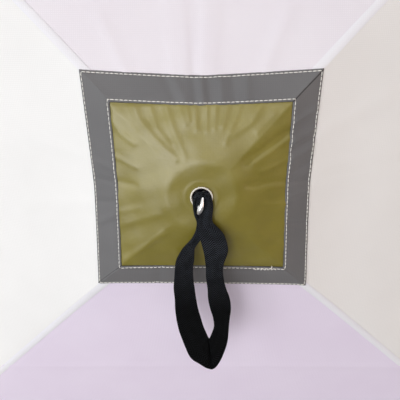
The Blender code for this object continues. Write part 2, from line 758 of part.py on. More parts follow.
def build():
    clear_scene()
    add_skirt()
    meshes = {"hub": hub_mesh(), "pole": pole_mesh(), "eyelet": eyelet_mesh()}
    meshes["ring"] = ring_mesh()
    meshes["strap"], meshes["draped_strap"] = strap_mesh(False), strap_mesh(True)
    for face, at, corners in face_frames():
        frame = empty("face_" + face, at)
        is_wall = face != "roof"
        has_window = face in ("left", "right")
        add_skin(face, frame, is_wall, face == "right", has_window)
        add_patch(face, frame)
        add_hub_and_poles(face, frame, corners, meshes)
        if face == "right":
            add_door(frame)
        if has_window:
            add_window(face, frame)
    for x, side in ((-1, "left"), (1, "right")):
        for y, end in ((-1, "front"), (1, "back")):
            add_corner_cap(f"corner_cap_{end}_{side}", x, y)


build()
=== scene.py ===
from functools import partial
from math import cos, pi, radians, sin, sqrt

import bmesh
import bpy
import numpy as np
from mathutils import Matrix, Vector


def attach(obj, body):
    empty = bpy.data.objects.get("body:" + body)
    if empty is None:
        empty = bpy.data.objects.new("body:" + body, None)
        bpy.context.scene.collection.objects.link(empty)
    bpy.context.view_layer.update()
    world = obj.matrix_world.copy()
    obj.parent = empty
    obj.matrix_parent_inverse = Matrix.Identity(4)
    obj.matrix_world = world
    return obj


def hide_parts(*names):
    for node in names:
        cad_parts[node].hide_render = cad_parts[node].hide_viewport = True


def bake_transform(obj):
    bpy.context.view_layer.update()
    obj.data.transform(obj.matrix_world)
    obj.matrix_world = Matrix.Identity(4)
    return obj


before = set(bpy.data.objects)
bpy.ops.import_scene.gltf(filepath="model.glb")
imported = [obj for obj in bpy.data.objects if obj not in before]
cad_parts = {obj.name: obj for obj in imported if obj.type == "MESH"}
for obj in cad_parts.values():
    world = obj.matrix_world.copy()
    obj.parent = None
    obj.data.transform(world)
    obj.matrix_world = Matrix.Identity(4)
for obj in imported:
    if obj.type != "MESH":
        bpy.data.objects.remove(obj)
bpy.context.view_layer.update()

# ---------------------------------------------------------------------------
# Camera: the photograph looks down at the middle of the front wall, from half
# a metre off, and sees little more than the hub patch and its strap.
# ---------------------------------------------------------------------------
CAMERA_AT = (0.0081, -1.6399, 1.0886)
CAMERA_YAW, CAMERA_PITCH, CAMERA_ROLL = radians(-1.13), radians(21.02), radians(-0.60)

ahead = Vector((sin(CAMERA_YAW) * cos(CAMERA_PITCH), cos(CAMERA_YAW) * cos(CAMERA_PITCH), -sin(CAMERA_PITCH)))
level_right = Vector((cos(CAMERA_YAW), -sin(CAMERA_YAW), 0))
level_up = level_right.cross(ahead)
camera_right = level_right * cos(CAMERA_ROLL) + level_up * sin(CAMERA_ROLL)
camera_up = level_up * cos(CAMERA_ROLL) - level_right * sin(CAMERA_ROLL)
camera_data = bpy.data.cameras.new("camera")
camera_data.sensor_fit = "HORIZONTAL"
camera_data.sensor_width = 36.0
camera_data.lens = 44.14
camera_data.clip_start = 0.02
camera = bpy.data.objects.new("camera", camera_data)
turned_as = Matrix((camera_right, camera_up, -ahead)).transposed().to_4x4()
camera.matrix_world = Matrix.Translation(CAMERA_AT) @ turned_as
bpy.context.collection.objects.link(camera)
bpy.context.scene.camera = camera

# ---------------------------------------------------------------------------
# Snow skirt. A flat strip of the tent's own coated polyester, sewn round the
# foot of the walls and left loose on the ground, where snow is heaped on it.
# Its corners are mitred and its outer edge is turned in and stitched.
# ---------------------------------------------------------------------------
HALF_SIDE = 0.90
SKIRT_OUTER = 1.10
SKIRT_INNER = 0.875
SKIRT_THICKNESS = 0.0015
SKIRT_LOOSE_FROM = 0.93
SKIRT_RIPPLE = 0.007
HEM_WIDTH = 0.018
HEM_THICKNESS = 0.0008
HEM_TURN = 0.0012
HEM_SEWN_IN = 0.004
STITCH_PITCH = 0.0050
STITCH_LENGTH = 0.0047
THREAD_RADIUS = 0.00048
# A stitch at each of its stations: how far it bows up and how thick it is, in radii of its thread.
STITCH_BOW = 1.3 * np.sin(pi * np.linspace(0, 1, 5)) - 0.5
STITCH_THICKNESS = np.array([0.6, 1.0, 1.05, 1.0, 0.6])


def linear(code):
    """An sRGB hex colour as linear red, green, blue and alpha."""
    parts = [int(code[i:i + 2], 16) / 255 for i in (1, 3, 5)]
    return [c / 12.92 if c <= 0.04045 else ((c + 0.055) / 1.055) ** 2.4 for c in parts] + [1.0]


def add(tree, kind, sockets, **settings):
    """Adds a shader node with its settings, its values and the links into it."""
    node = tree.nodes.new("ShaderNode" + kind)
    for name, value in settings.items():
        setattr(node, name, value)
    for key, value in sockets.items():
        if isinstance(value, bpy.types.NodeSocket):
            tree.links.new(value, node.inputs[key])
        else:
            node.inputs[key].default_value = value
    return node


def blank_material(name):
    """A material with nothing in it but its output, and its node tree."""
    made = bpy.data.materials.new(name)
    made.use_nodes = True
    made.node_tree.nodes.clear()
    return made, made.node_tree


def finish_material(made, tree, relief=None, **sockets):
    """Ends a material with one Principled shader; its relief is a height, a depth in mm and a strength."""
    named = {key.replace("_", " "): value for key, value in sockets.items()}
    if relief:
        bump = {"Height": relief[0], "Distance": relief[1] / 1000, "Strength": relief[2]}
        named["Normal"] = add(tree, "Bump", bump).outputs[0]
    shader = add(tree, "BsdfPrincipled", named)
    add(tree, "OutputMaterial", {"Surface": shader.outputs[0]})
    return made


def between(tree, amount, low, high):
    """A colour between two hex colours, by an amount from 0 to 1."""
    colours = {"Factor": amount, 6: linear(low), 7: linear(high)}
    return add(tree, "Mix", colours, data_type="RGBA").outputs[2]


def scaled(tree, amount, low, high, to_low=0.0, to_high=1.0):
    """Maps an amount from one range of numbers to another, and stops at its ends."""
    values = {"Value": amount, "From Min": low, "From Max": high, "To Min": to_low, "To Max": to_high}
    return add(tree, "MapRange", values).outputs[0]


def flat_mm(tree, across=1.0, along=1.0):
    """Where a point lies on the flat cloth, in millimetres, or stretched to another scale."""
    flat = add(tree, "UVMap", {}, uv_map="flat").outputs[0]
    return add(tree, "Mapping", {"Vector": flat, "Scale": (1000 * across, 1000 * along, 1000)}).outputs[0]


def weave(tree, pitch_mm, turn=0.0):
    """Height of a plain weave whose threads lie a pitch apart, from 0 to 1."""
    flat = add(tree, "Mapping", {"Vector": flat_mm(tree), "Rotation": (0, 0, turn)}).outputs[0]
    heights = []
    for direction in ("X", "Y"):
        # A wave texture repeats every 2 pi / 20 of its coordinate at a scale of 1.
        wave = {"Vector": flat, "Scale": pi / 10 / pitch_mm, "Distortion": 0.35, "Detail": 1.0}
        heights.append(add(tree, "TexWave", wave, bands_direction=direction).outputs["Fac"])
    return add(tree, "Math", {0: heights[0], 1: heights[1]}, operation="MULTIPLY").outputs[0]


def oxford(name, base, worn, thread_mm, roughness, sheen, bump_mm):
    """Coated Oxford polyester: a matt basket weave with a thin coat, slightly clouded by handling.

    Its real threads lie 0.5 mm apart. They are drawn thread_mm apart, as coarse as they must be to show.
    """
    made, tree = blank_material(name)
    clouds = add(tree, "TexNoise", {"Vector": flat_mm(tree), "Scale": 0.011, "Detail": 3.0}).outputs[0]
    colour = between(tree, scaled(tree, clouds, 0.35, 0.7), base, worn)
    threads = weave(tree, thread_mm)
    # Painted shade: the hollows between the threads are painted up to 6% darker.
    painted_weave_shade = scaled(tree, threads, 0.0, 1.0, 0.94, 1.0)
    shaded_colour = add(tree, "VectorMath", {0: colour, 1: painted_weave_shade}, operation="MULTIPLY").outputs[0]
    slack = add(tree, "TexNoise", {"Vector": flat_mm(tree), "Scale": 0.035, "Detail": 2.0}).outputs[0]
    height = add(tree, "Math", {0: slack, 1: 2.0, 2: threads}, operation="MULTIPLY_ADD").outputs[0]
    rough = scaled(tree, threads, 0.0, 1.0, roughness + 0.06, roughness - 0.04)
    return finish_material(made, tree, (height, bump_mm, 1.0), Base_Color=shaded_colour, Roughness=rough, IOR=1.5,
                           Sheen_Weight=sheen, Sheen_Roughness=0.5)


def new_piece(name, points, faces, flat, materials, slots=None):
    """An object from points, faces, each point's place on the flat cloth in metres, and materials."""
    mesh = bpy.data.meshes.new(name)
    mesh.from_pydata([tuple(p) for p in points], [], [tuple(f) for f in faces])
    mesh.validate()
    corners = np.zeros(len(mesh.loops), int)
    mesh.loops.foreach_get("vertex_index", corners)
    layer = mesh.uv_layers.new(name="flat")
    layer.data.foreach_set("uv", np.asarray(flat, np.float32)[corners].ravel())
    for material in materials:
        mesh.materials.append(material)
    if slots is not None:
        mesh.polygons.foreach_set("material_index", np.asarray(slots, np.int32))
    mesh.polygons.foreach_set("use_smooth", np.ones(len(mesh.polygons), bool))
    mesh.update()
    piece = bpy.data.objects.new(name, mesh)
    bpy.context.collection.objects.link(piece)
    return piece


def net(rows, columns, closed=False):
    """Faces between the points of a grid, given row by row, as an array of four corners each."""
    last = columns if closed else columns - 1
    i, j = np.meshgrid(np.arange(rows - 1), np.arange(last), indexing="ij")
    a, b = i * columns + j, i * columns + (j + 1) % columns
    return np.stack([a, b, b + columns, a + columns], -1).reshape(-1, 4)


def hoop(rows, columns):
    """The same for a closed tube whose last row joins its first."""
    return net(rows + 1, columns, True) % (rows * columns)


def rings(scales, around):
    """Points of a closed path at each of several scales, and the faces between those rings."""
    return (scales[..., None] * around).reshape(-1, 2), net(len(scales), len(around), True)


def ramp(values, start, end):
    """How far values have come from a start towards an end, from 0 to 1."""
    return np.clip((values - start) / (end - start), 0, 1)


def unit(vectors):
    """Vectors made as long as 1."""
    return vectors / np.linalg.norm(vectors, axis=-1)[..., None]


def round_square(columns, crowded=0.5):
    """Points round a square of half side 1, anticlockwise, more or less crowded towards its corners."""
    even = np.linspace(-1, 1, columns, endpoint=False)
    side = (1 - crowded) * even + crowded * np.sin(pi / 2 * even)
    quarter = np.stack([np.ones(columns), side], -1)
    turns = [((1, 0), (0, 1)), ((0, 1), (-1, 0)), ((-1, 0), (0, -1)), ((0, -1), (1, 0))]
    return np.concatenate([quarter @ np.array([a, b]) for a, b in turns])


def stitches(name, path, put, lift_of, sides=4, closed=True):
    """A row of real stitches along a path on the flat cloth, each a short bowed thread.

    put gives the places in the row frame of points on the flat cloth and their lift. lift_of gives
    the lift of the cloth that is sewn, or is that lift.
    """
    path = np.vstack([path, path[:1]]) if closed else path
    walked = np.concatenate([[0], np.cumsum(np.hypot(*np.diff(path, axis=0).T))])
    count, stations = int(walked[-1] / STITCH_PITCH), len(STITCH_BOW)
    starts = np.arange(count) * walked[-1] / count
    at = (starts[:, None] + np.linspace(0, 1, stations) * STITCH_LENGTH).ravel()
    u, v = np.interp(at, walked, path[:, 0]), np.interp(at, walked, path[:, 1])
    lift = (lift_of(u, v) if callable(lift_of) else lift_of) + np.tile(STITCH_BOW, count) * THREAD_RADIUS
    middle = put(u, v, lift)
    up = (put(u, v, lift + 0.001) - middle) / 0.001
    along = np.gradient(middle.reshape(count, stations, 3), axis=1).reshape(-1, 3)
    across = unit(np.cross(along, up))
    angles = 2 * pi * np.arange(sides) / sides
    thick = np.tile(STITCH_THICKNESS, count) * THREAD_RADIUS
    ring = across[:, None] * np.cos(angles)[:, None] + up[:, None] * np.sin(angles)[:, None]
    points = (middle[:, None] + ring * thick[:, None, None]).reshape(-1, 3)
    one = net(stations, sides, True).tolist()
    one += [list(range(sides))[::-1], list(range((stations - 1) * sides, stations * sides))]
    faces = [[i + stations * sides * k for i in face] for k in range(count) for face in one]
    flat = np.repeat(np.column_stack([u, v]), sides, axis=0)
    return new_piece(name, points, faces, flat, [thread_white]), flat


made, tree = blank_material("polyester_thread_white")
# Twisted sewing thread: the ply shows as slanted bands across each stitch.
ply = add(tree, "TexWave", {"Vector": flat_mm(tree), "Scale": 0.45, "Distortion": 1.0}, bands_direction="DIAGONAL")
thread_white = finish_material(made, tree, Base_Color=between(tree, ply.outputs["Fac"], "#e6e4de", "#fbfaf5"),
                               Roughness=0.55, Sheen_Weight=0.3)


def on_ground(x, y, lift=0.0):
    """Points a lift above the skirt, which lies flat under the walls and loose and rippled outside them."""
    reach = np.maximum(np.abs(x), np.abs(y))
    loose = ramp(reach, SKIRT_LOOSE_FROM, SKIRT_OUTER) ** 1.5
    ripple = np.sin(x * 31 + y * 9) + 0.6 * np.sin(y * 43 - x * 17 + 1.3) + 0.4 * np.sin((x + y) * 71 + 0.5)
    hem = HEM_THICKNESS * (reach > SKIRT_OUTER - HEM_WIDTH + HEM_TURN / 2)
    return np.column_stack([x, y, SKIRT_THICKNESS + SKIRT_RIPPLE * loose * (0.5 + ripple / 4) + hem + lift])


around = round_square(90)
reaches = np.concatenate([np.linspace(SKIRT_INNER, SKIRT_OUTER - HEM_WIDTH, 22),
                          np.linspace(SKIRT_OUTER - HEM_WIDTH + HEM_TURN, SKIRT_OUTER, 6)])
flat, faces = rings(reaches[:, None], around)
skirt_cloth = oxford("polyester_oxford_skirt", "#e2dfe2", "#d3cfd0", 2.4, 0.72, 0.15, 0.15)
skirt = new_piece("snow_skirt_cloth", on_ground(*flat.T), faces, flat, [skirt_cloth])
path = (SKIRT_OUTER - HEM_WIDTH + HEM_SEWN_IN) * np.array([(1, -1), (1, 1), (-1, 1), (-1, -1)])
seam, _ = stitches("hem_stitches", path, on_ground, 0.0)
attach(seam, "shell")
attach(skirt, "shell")
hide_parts("snow_skirt")

# ---------------------------------------------------------------------------
# Tent skins. Each wall and the roof is four triangles of coated Oxford, joined
# with felled seams and drawn tight over a hub and four poles to a low pyramid
# that sags a little between them. It turns inside out when its hub goes in.
# ---------------------------------------------------------------------------
BULGE = 0.23
PANEL_LENGTH = sqrt(HALF_SIDE ** 2 + BULGE ** 2)
PLATEAU_N = 0.24
PLATEAU_RADIUS = 0.03905
SLOPE_START = 0.17
CLOTH_HOLE = 0.0115
WALL_FOOT = 0.0018
# How much of the hub's travel the cloth would follow: over a pole less towards the corner, so that the pole stays
# under it; below the hub more, so that the hanging strap stays in front of it.
RIDGE_LAG = ([0, 0.28, 0.50, 0.72, 0.83, 0.94, 1.0], [0, 0.015, 0.06, 0.16, 0.30, 0.80, 1.0])
STRAP_DIP = ([0, 0.03, 0.06, 0.09, 0.15, 0.18, 0.22, 0.42], [0, 0.038, 0.052, 0.060, 0.074, 0.094, 0.108, 0])
DOOR_WALL_DIP = ([0, 0.03, 0.06, 0.09, 0.15, 0.18, 0.212, 0.236, 0.250],
                 [0, 0.038, 0.052, 0.062, 0.082, 0.102, 0.112, 0.118, 0])
STRAP_DIP_WIDTH = 0.085
ROOF_DIP = ([0, 0.04, 0.10, 0.22, 0.24, 0.50], [0, 0.09, 0.17, 0.32, 0.32, 0])
ROOF_DIP_WIDTH, ROOF_DIP_FLARE = 0.03, 0.25
RIDGE_ROUND = 0.012
# How softly the cloth bends where the panels start, and at the rim of the hub.
PANEL_SOFT, RIM_SOFT = 0.004, 0.0015
FLAT_SAG = 0.009
EDGE_BOW = 0.022
SEAM_V = -0.300
SEAM_WIDTH = 0.011
SEAM_HEIGHT = 0.0008
RIDGE_POWER = 12
FELL_WIDTH, FELL_LIFT = 0.013, 0.0002
FELL_TO_PATCH, FELL_TO_FOOT, FELL_POINTS = 0.799, 0.884, 70
# The seams along the poles and the folds round the patch start under its binding.
UNDER_BINDING = 0.118
FINE_ROWS_TO = 0.36
WINDOW_HALF_WIDTH = 0.15
WINDOW_LOW, WINDOW_HIGH = 0.4349, 0.6287
DOOR_LOW, DOOR_HIGH = -0.84187, -0.26052
DOOR_HALF_LOW, DOOR_HALF_HIGH = 0.7419, 0.1606

X_AXIS, Y_AXIS, Z_AXIS = np.eye(3)
FACE_FRAMES = {
    "front": (np.array((0, -HALF_SIDE, HALF_SIDE)), X_AXIS, Z_AXIS, -Y_AXIS),
    "right": (np.array((HALF_SIDE, 0, HALF_SIDE)), Y_AXIS, Z_AXIS, X_AXIS),
    "back": (np.array((0, HALF_SIDE, HALF_SIDE)), -X_AXIS, Z_AXIS, Y_AXIS),
    "left": (np.array((-HALF_SIDE, 0, HALF_SIDE)), -Y_AXIS, Z_AXIS, -X_AXIS),
    "roof": (np.array((0, 0, 2 * HALF_SIDE)), X_AXIS, Y_AXIS, Z_AXIS),
}


def soft_least(a, b, blend):
    """The smaller of two heights, with the corner between them rounded off."""
    share = np.clip(0.5 + 0.5 * (b - a) / blend, 0, 1)
    return b * (1 - share) + a * share - blend * share * (1 - share)


def cloth(face, u, v):
    """Where the point (u, v) of a face's taut cloth comes to lie: u, v and n in the face's frame."""
    u, v = np.asarray(u, float), np.asarray(v, float)
    big, small = np.maximum(np.abs(u), np.abs(v)), np.minimum(np.abs(u), np.abs(v))
    big = np.maximum(big, 1e-6)
    share = small / big
    long = np.sqrt(1 + share ** 2)
    fall = (big * long - PLATEAU_RADIUS) / (SLOPE_START * long - PLATEAU_RADIUS)
    cone = PLATEAU_N + fall * (BULGE * (1 - SLOPE_START / HALF_SIDE) - PLATEAU_N)
    round_off = RIDGE_ROUND * (1 - (big / HALF_SIDE) ** 6)
    rounded = (big + small + np.sqrt((big - small) ** 2 + round_off ** 2)) / 2
    panel = BULGE * (1 - rounded / HALF_SIDE)
    n = soft_least(-soft_least(-cone, -panel, PANEL_SOFT), PLATEAU_N, RIM_SOFT)
    foot_panel = (face != "roof") & (v < 0) & (np.abs(v) >= np.abs(u))
    between_poles = 1 - share ** 2
    sag = FLAT_SAG * between_poles * np.sin(pi * ramp(big, SLOPE_START, HALF_SIDE)) ** 2
    n = n - sag * np.where(foot_panel & (face == "right"), 0, 1)
    bow = EDGE_BOW * between_poles * (big / HALF_SIDE) ** 4 * np.where(foot_panel, 0, 1)
    on_side = np.abs(u) >= np.abs(v)
    u = u - np.sign(u) * np.where(on_side, bow, 0)
    v = v - np.sign(v) * np.where(on_side, 0, bow)
    if face != "roof":
        v = np.maximum(v, WALL_FOOT - HALF_SIDE)
    return u, v, n - bow


CREASE_SPREAD = 1.6
# Folds that the hub's pull draws round its patch, in mm: height, half width and line.
FLAP_FOLDS = [
    (1.4, 2.2, [(-29, 125), (-33, 230), (-35, 320)]),
    (1.8, 2.6, [(-16, 125), (-17, 240), (-18, 360)]),
    (-1.3, 2.4, [(-8, 125), (-7.5, 280)]),
    (1.6, 2.4, [(1, 125), (2, 260), (2.5, 380)]),
    (1.3, 2.6, [(12, 125), (14.5, 230)]),
    (1.1, 3, [(68, 128), (93, 190)]),
    (1.1, 3, [(-80, 128), (-108, 185)]),
    (1, 3, [(128, 60), (210, 95)]),
    (1, 3, [(-128, -20), (-220, -34)]),
    (1, 3, [(-128, 35), (-200, 50)]),
    (1, 2.4, [(128, 18), (230, 30)]),
    (0.9, 2.2, [(128, 2), (190, 3)]),
]


def creased(u, v, creases):
    """How high creases in mm lift the cloth; each is a ridge along a line, and soft cloth spreads it."""
    u, v = 1000 * u, 1000 * v
    height = np.zeros(len(u))
    for rise, half_width, line in creases:
        nearest = np.full(len(u), 1e9)
        for (au, av), (bu, bv) in zip(line, line[1:]):
            du, dv = bu - au, bv - av
            along = np.clip(((u - au) * du + (v - av) * dv) / (du * du + dv * dv), 0, 1)
            nearest = np.minimum(nearest, (u - au - along * du) ** 2 + (v - av - along * dv) ** 2)
        height += rise * np.exp(-nearest / (2 * (CREASE_SPREAD * half_width) ** 2))
    return height / 1000


def turned_to(face, u, v):
    """A face's place on the one pattern of creases, turned and mirrored so that no two faces match."""
    quarter = {"front": (u, v), "right": (-v, -u), "back": (-u, v), "left": (v, u), "roof": (v, -u)}
    return quarter[face]


def out_of(face, u, v, n):
    """Points in a face's frame as points in the row frame."""
    middle, across, up, out = FACE_FRAMES[face]
    return middle + np.outer(u, across) + np.outer(v, up) + np.outer(n, out)


def on_cloth(face, u, v, lift=0.0):
    """Points a lift above the cloth, at places given on the flat cloth, in the row frame."""
    u, v = np.asarray(u, float), np.asarray(v, float)
    step = 0.0005
    here = out_of(face, *cloth(face, u, v))
    a = out_of(face, *cloth(face, u + step, v)) - out_of(face, *cloth(face, u - step, v))
    b = out_of(face, *cloth(face, u, v + step)) - out_of(face, *cloth(face, u, v - step))
    return here + unit(np.cross(a, b)) * np.broadcast_to(lift, len(here))[:, None]


def pull_with_hub(piece, face, flat):
    """Bakes a piece's placement into its points, and works out how far each point would follow the hub, more the
    nearer it lies; nothing uses those shares.
    """
    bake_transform(piece)
    flat = np.asarray(flat)
    u, v = np.abs(flat).T
    big = np.maximum(u, v)
    far, near_ridge = big / HALF_SIDE, np.minimum(u, v) / np.maximum(big, 1e-6)
    follows = (1 - far) * (1 - np.interp(far, *RIDGE_LAG) * near_ridge ** RIDGE_POWER)
    dips = {"right": DOOR_WALL_DIP, "roof": ROOF_DIP}.get(face, STRAP_DIP)
    width = ROOF_DIP_WIDTH + ROOF_DIP_FLARE * v if face == "roof" else STRAP_DIP_WIDTH
    follows = np.minimum(follows + np.interp(-flat[:, 1], *dips) * np.exp(-(u / width) ** 2), 1)


def sewn(name, face, path, put, lift_of, **how):
    """A row of stitches in something on a face's cloth, which follows that cloth."""
    piece, flat = stitches(name, path, partial(put, face), lift_of, **how)
    pull_with_hub(piece, face, flat)
    return piece


def cut_and_clear(mesh, outline):
    """Cuts flat cloth along the sides of a convex outline and takes away what lies inside."""
    count = len(outline)
    for i in range(count):
        a, b = Vector((*outline[i], 0)), Vector((*outline[(i + 1) % count], 0))
        side = Vector((b.y - a.y, a.x - b.x, 0))
        parts = mesh.verts[:] + mesh.edges[:] + mesh.faces[:]
        bmesh.ops.bisect_plane(mesh, geom=parts, plane_co=a, plane_no=side, dist=1e-6)

    def inside(p):
        for i in range(count):
            (ax, ay), (bx, by) = outline[i], outline[(i + 1) % count]
            if (bx - ax) * (p.y - ay) - (by - ay) * (p.x - ax) < 0:
                return False
        return True

    gone = [f for f in mesh.faces if inside(f.calc_center_median())]
    bmesh.ops.delete(mesh, geom=gone, context="FACES")


def flat_cloth(columns, reaches):
    """A face's cloth laid flat: rings from the hub's hole, which turn from round to square."""
    around = round_square(columns)
    long = np.hypot(*around.T)
    square = ramp(reaches, PLATEAU_RADIUS, SLOPE_START)[:, None]
    return rings(reaches[:, None] * ((1 - square) / long + square), around)


def trapezium(half_low, low, half_high, high):
    """The corners of an even-sided opening, anticlockwise from its lower left one."""
    return np.array([(-half_low, low), (half_low, low), (half_high, high), (-half_high, high)])


# The side and end panels were cut from different rolls. The foot panels take the end panels' cloth painted more
# violet: painted light from below. A felled seam is four layers thick, so it looks whiter.
side_cloth, end_cloth, foot_cloth_with_painted_light, seam_cloth = (
    oxford("polyester_oxford_" + part, base, worn, 2.2, 0.66, 0.1, 0.06)
    for part, base, worn in (("side_panels", "#f7f7f7", "#f4f4f4"), ("end_panels", "#f2eef6", "#efeaf3"),
                             ("foot_panels_painted_light", "#f1e7fa", "#eee3f7"), ("felled_seams", "#f5f5fb", "#f2f2f9")))
window_outline = trapezium(WINDOW_HALF_WIDTH, WINDOW_LOW, WINDOW_HALF_WIDTH, WINDOW_HIGH)
door_outline = trapezium(DOOR_HALF_LOW, DOOR_LOW, DOOR_HALF_HIGH, DOOR_HIGH)
for face in FACE_FRAMES:
    near = face == "front"
    steps = (26, 34, 30) if near else (12, 14, 26)
    reaches = np.concatenate([np.linspace(CLOTH_HOLE, SLOPE_START, steps[0], endpoint=False),
                              np.linspace(SLOPE_START, FINE_ROWS_TO, steps[1], endpoint=False),
                              np.linspace(FINE_ROWS_TO, HALF_SIDE, steps[2])])
    flat, faces = flat_cloth(64 if near else 40, reaches)
    grid = bmesh.new()
    corners = [grid.verts.new((u, v, 0)) for u, v in flat]
    for f in faces:
        grid.faces.new([corners[i] for i in f])
    if face in ("left", "right"):
        cut_and_clear(grid, window_outline)
    if face == "right":
        cut_and_clear(grid, door_outline)
    loose = [p for p in grid.verts if not p.link_faces]
    bmesh.ops.delete(grid, geom=loose, context="VERTS")
    grid.verts.index_update()
    flat = np.array([p.co.xy[:] for p in grid.verts])
    faces = [[p.index for p in f.verts] for f in grid.faces]
    middles = np.array([f.calc_center_median().xy[:] for f in grid.faces])
    grid.free()
    u, v = flat.T
    lower = (v < 0) & (np.abs(v) >= np.abs(u))
    at_seam = np.clip(1.6 - np.abs(v - SEAM_V) / (SEAM_WIDTH / 2) * 1.2, 0, 1)
    reach = np.abs(flat).max(1)
    folds = creased(*turned_to(face, u, v), FLAP_FOLDS) * ramp(reach, UNDER_BINDING, UNDER_BINDING + 0.01)
    lift = SEAM_HEIGHT * np.where(lower & near, at_seam, 0) + folds
    points = on_cloth(face, u, v, lift)
    rim = reach > HALF_SIDE - 0.001
    points[rim] = out_of(face, *cloth(face, u[rim], v[rim]))
    ends = np.abs(middles[:, 1]) > np.abs(middles[:, 0])
    # The lower panels of the walls take the foot panels' cloth, painted more violet as painted light from below.
    panel_slots = ends * (1 + (middles[:, 1] < 0) * (face != "roof"))
    skin = new_piece("skin_cloth_" + face, points, faces, flat, [side_cloth, end_cloth, foot_cloth_with_painted_light], panel_slots)
    pull_with_hub(skin, face, flat)
    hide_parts("skin_" + face)
    # The seam along each pole is turned over towards the upper or lower panel and sewn down.
    over = np.array([0, 0.06, 0.2, 0.5, 0.8, 0.94, 1])
    flat, faces = [], []
    for su, sv in ((1, 1), (-1, 1), (-1, -1), (1, -1)):
        end = FELL_TO_FOOT if sv < 0 and face != "roof" else FELL_TO_PATCH
        run = np.linspace(UNDER_BINDING, end, FELL_POINTS)[:, None]
        one = net(FELL_POINTS, len(over))
        faces.append((one[:, ::-1] if su * sv > 0 else one) + len(flat) * FELL_POINTS * len(over))
        flat.append(np.stack([su * run + 0 * over, sv * (run + FELL_WIDTH * over)], -1).reshape(-1, 2))
    flat = np.concatenate(flat)
    lift = FELL_LIFT + SEAM_HEIGHT * np.tile(np.sqrt(np.sin(pi * np.clip(over, 0.02, 0.98))), 4 * FELL_POINTS)
    seams = new_piece("felled_seams_" + face, on_cloth(face, *flat.T, lift), np.vstack(faces), flat, [seam_cloth])
    pull_with_hub(seams, face, flat)

# ---------------------------------------------------------------------------
# Hub patches. A square of olive coated nylon lies over each hub, bound with a
# mitred strip of grey Oxford that is turned in and sewn down along both edges.
# ---------------------------------------------------------------------------
OLIVE_HALF = 0.1045
OLIVE_LIFT = 0.0005
OLIVE_LEAST = 0.0004
OLIVE_FREE = 0.0007
OLIVE_HOLE = CLOTH_HOLE + 0.0003
OLIVE_HELD_FROM, OLIVE_HELD_AT = 0.0950, 0.0990
# Round the eyelet the olive is clenched flat, and it swells a little just outside it.
CLENCHED_LIFT, CLENCHED_TO = OLIVE_LIFT + 0.0003, 0.0138
SWELL, SWELLS_AT, SWELL_WIDTH = 0.0004, 0.0175, 0.0022
BINDING_LIFT = 0.0006
BINDING_THICK = 0.0012
BINDING_OUTER, OUTER_BOW = 0.1300, 0.045
BINDING_INNER, INNER_BOW = 0.0985, 0.036
LOWER_BOW, BOW_POWER = 0.020, 1.2
# How far the binding's inner and outer corners lie off the square, in mm.
BINDING_CORNERS = [
    ((-1, 1), (1, 0.3), (-0.7, 1.7)), ((1, 1), (-1.3, -0.6), (0.5, 0.8)),
    ((-1, -1), (0.7, 0.6), (-1.6, 0.6)), ((1, -1), (-1.5, -1.8), (-0.8, -2.9)),
]
TURNED_EDGE = 0.0014
MITRE_LAP, MITRE_STEP, MITRE_FADE = 0.0010, 0.0006, 0.010
PUCKER_PITCH, PUCKER_HEIGHT = 0.0085, 0.00012
SEWN_IN, SEWN_DEPTH, SEWN_WIDTH = 0.0024, 0.00045, 0.0009
# Places across the strip, as shares of its width, which lie closer together towards its edges.
HALF_STRIP = [0, 0.006, 0.016, 0.028, 0.045, 0.065, 0.085, 0.11, 0.16, 0.24, 0.34]
ACROSS_STRIP = np.array(HALF_STRIP + [0.5] + [1 - share for share in HALF_STRIP[::-1]])[:, None]

# Creases in the olive and in the binding, in mm: height, half width and the line each follows.
OLIVE_CREASES = [
    (1.3, 2.1, [(-73.7, 98.5), (-66.8, 81), (-51, 63), (-37.5, 51), (-26.8, 42)]),
    (1, 1.8, [(-38.5, 98.5), (-31.8, 75.6), (-24, 58.2), (-17.5, 43.5)]),
    (0.7, 1.4, [(-24.4, 98.5), (-17, 77)]),
    (0.7, 1.3, [(-16.1, 96), (-12.5, 80)]),
    (0.8, 1.4, [(-7, 98.5), (-5, 72)]),
    (0.6, 1.5, [(29, 96), (22.8, 74.5)]),
    (0.8, 1.8, [(64, 96), (54.5, 78.9), (35.1, 66.1)]),
    (0.7, 1.6, [(77.6, 85.3), (59.9, 68.9)]),
    (-1.3, 2.2, [(98.5, 69), (73, 52.3), (50, 37)]),
    (0.8, 1.8, [(97, 60), (74, 46), (56, 36)]),
    (-0.7, 1.6, [(97, 11.5), (50, 11.2)]),
    (0.7, 1.7, [(-97.5, 81.5), (-86.3, 66), (-72, 56.4)]),
    (-0.4, 1.5, [(-97, 11.2), (-73, 9)]),
    (0.4, 1.6, [(-96, -26.2), (-70.4, -17.5)]),
    (0.4, 1.8, [(-95, -43.5), (-47.2, -22.2)]),
    (0.7, 1.9, [(-97, -91.5), (-63.2, -64), (-44.6, -47.8)]),
    (0.6, 1.8, [(-25, -97), (-30, -70)]),
    (0.6, 1.8, [(50, -97), (40, -56)]),
    (0.7, 2, [(96, -70), (56, -43)]),
    (0.6, 1.2, [(-56, 98.5), (-47, 72), (-33, 56)]),
    (0.6, 1.1, [(6, 98.5), (6, 70)]),
    (0.6, 1.2, [(16, 98.5), (14, 72)]),
    (0.6, 1.3, [(43, 98.5), (34, 76), (26, 58)]),
    (0.5, 1.3, [(-97, 40), (-70, 30)]),
    (0.5, 1.3, [(97, -18), (70, -13)]),
    (0.5, 1.3, [(96, 35), (66, 25)]),
]
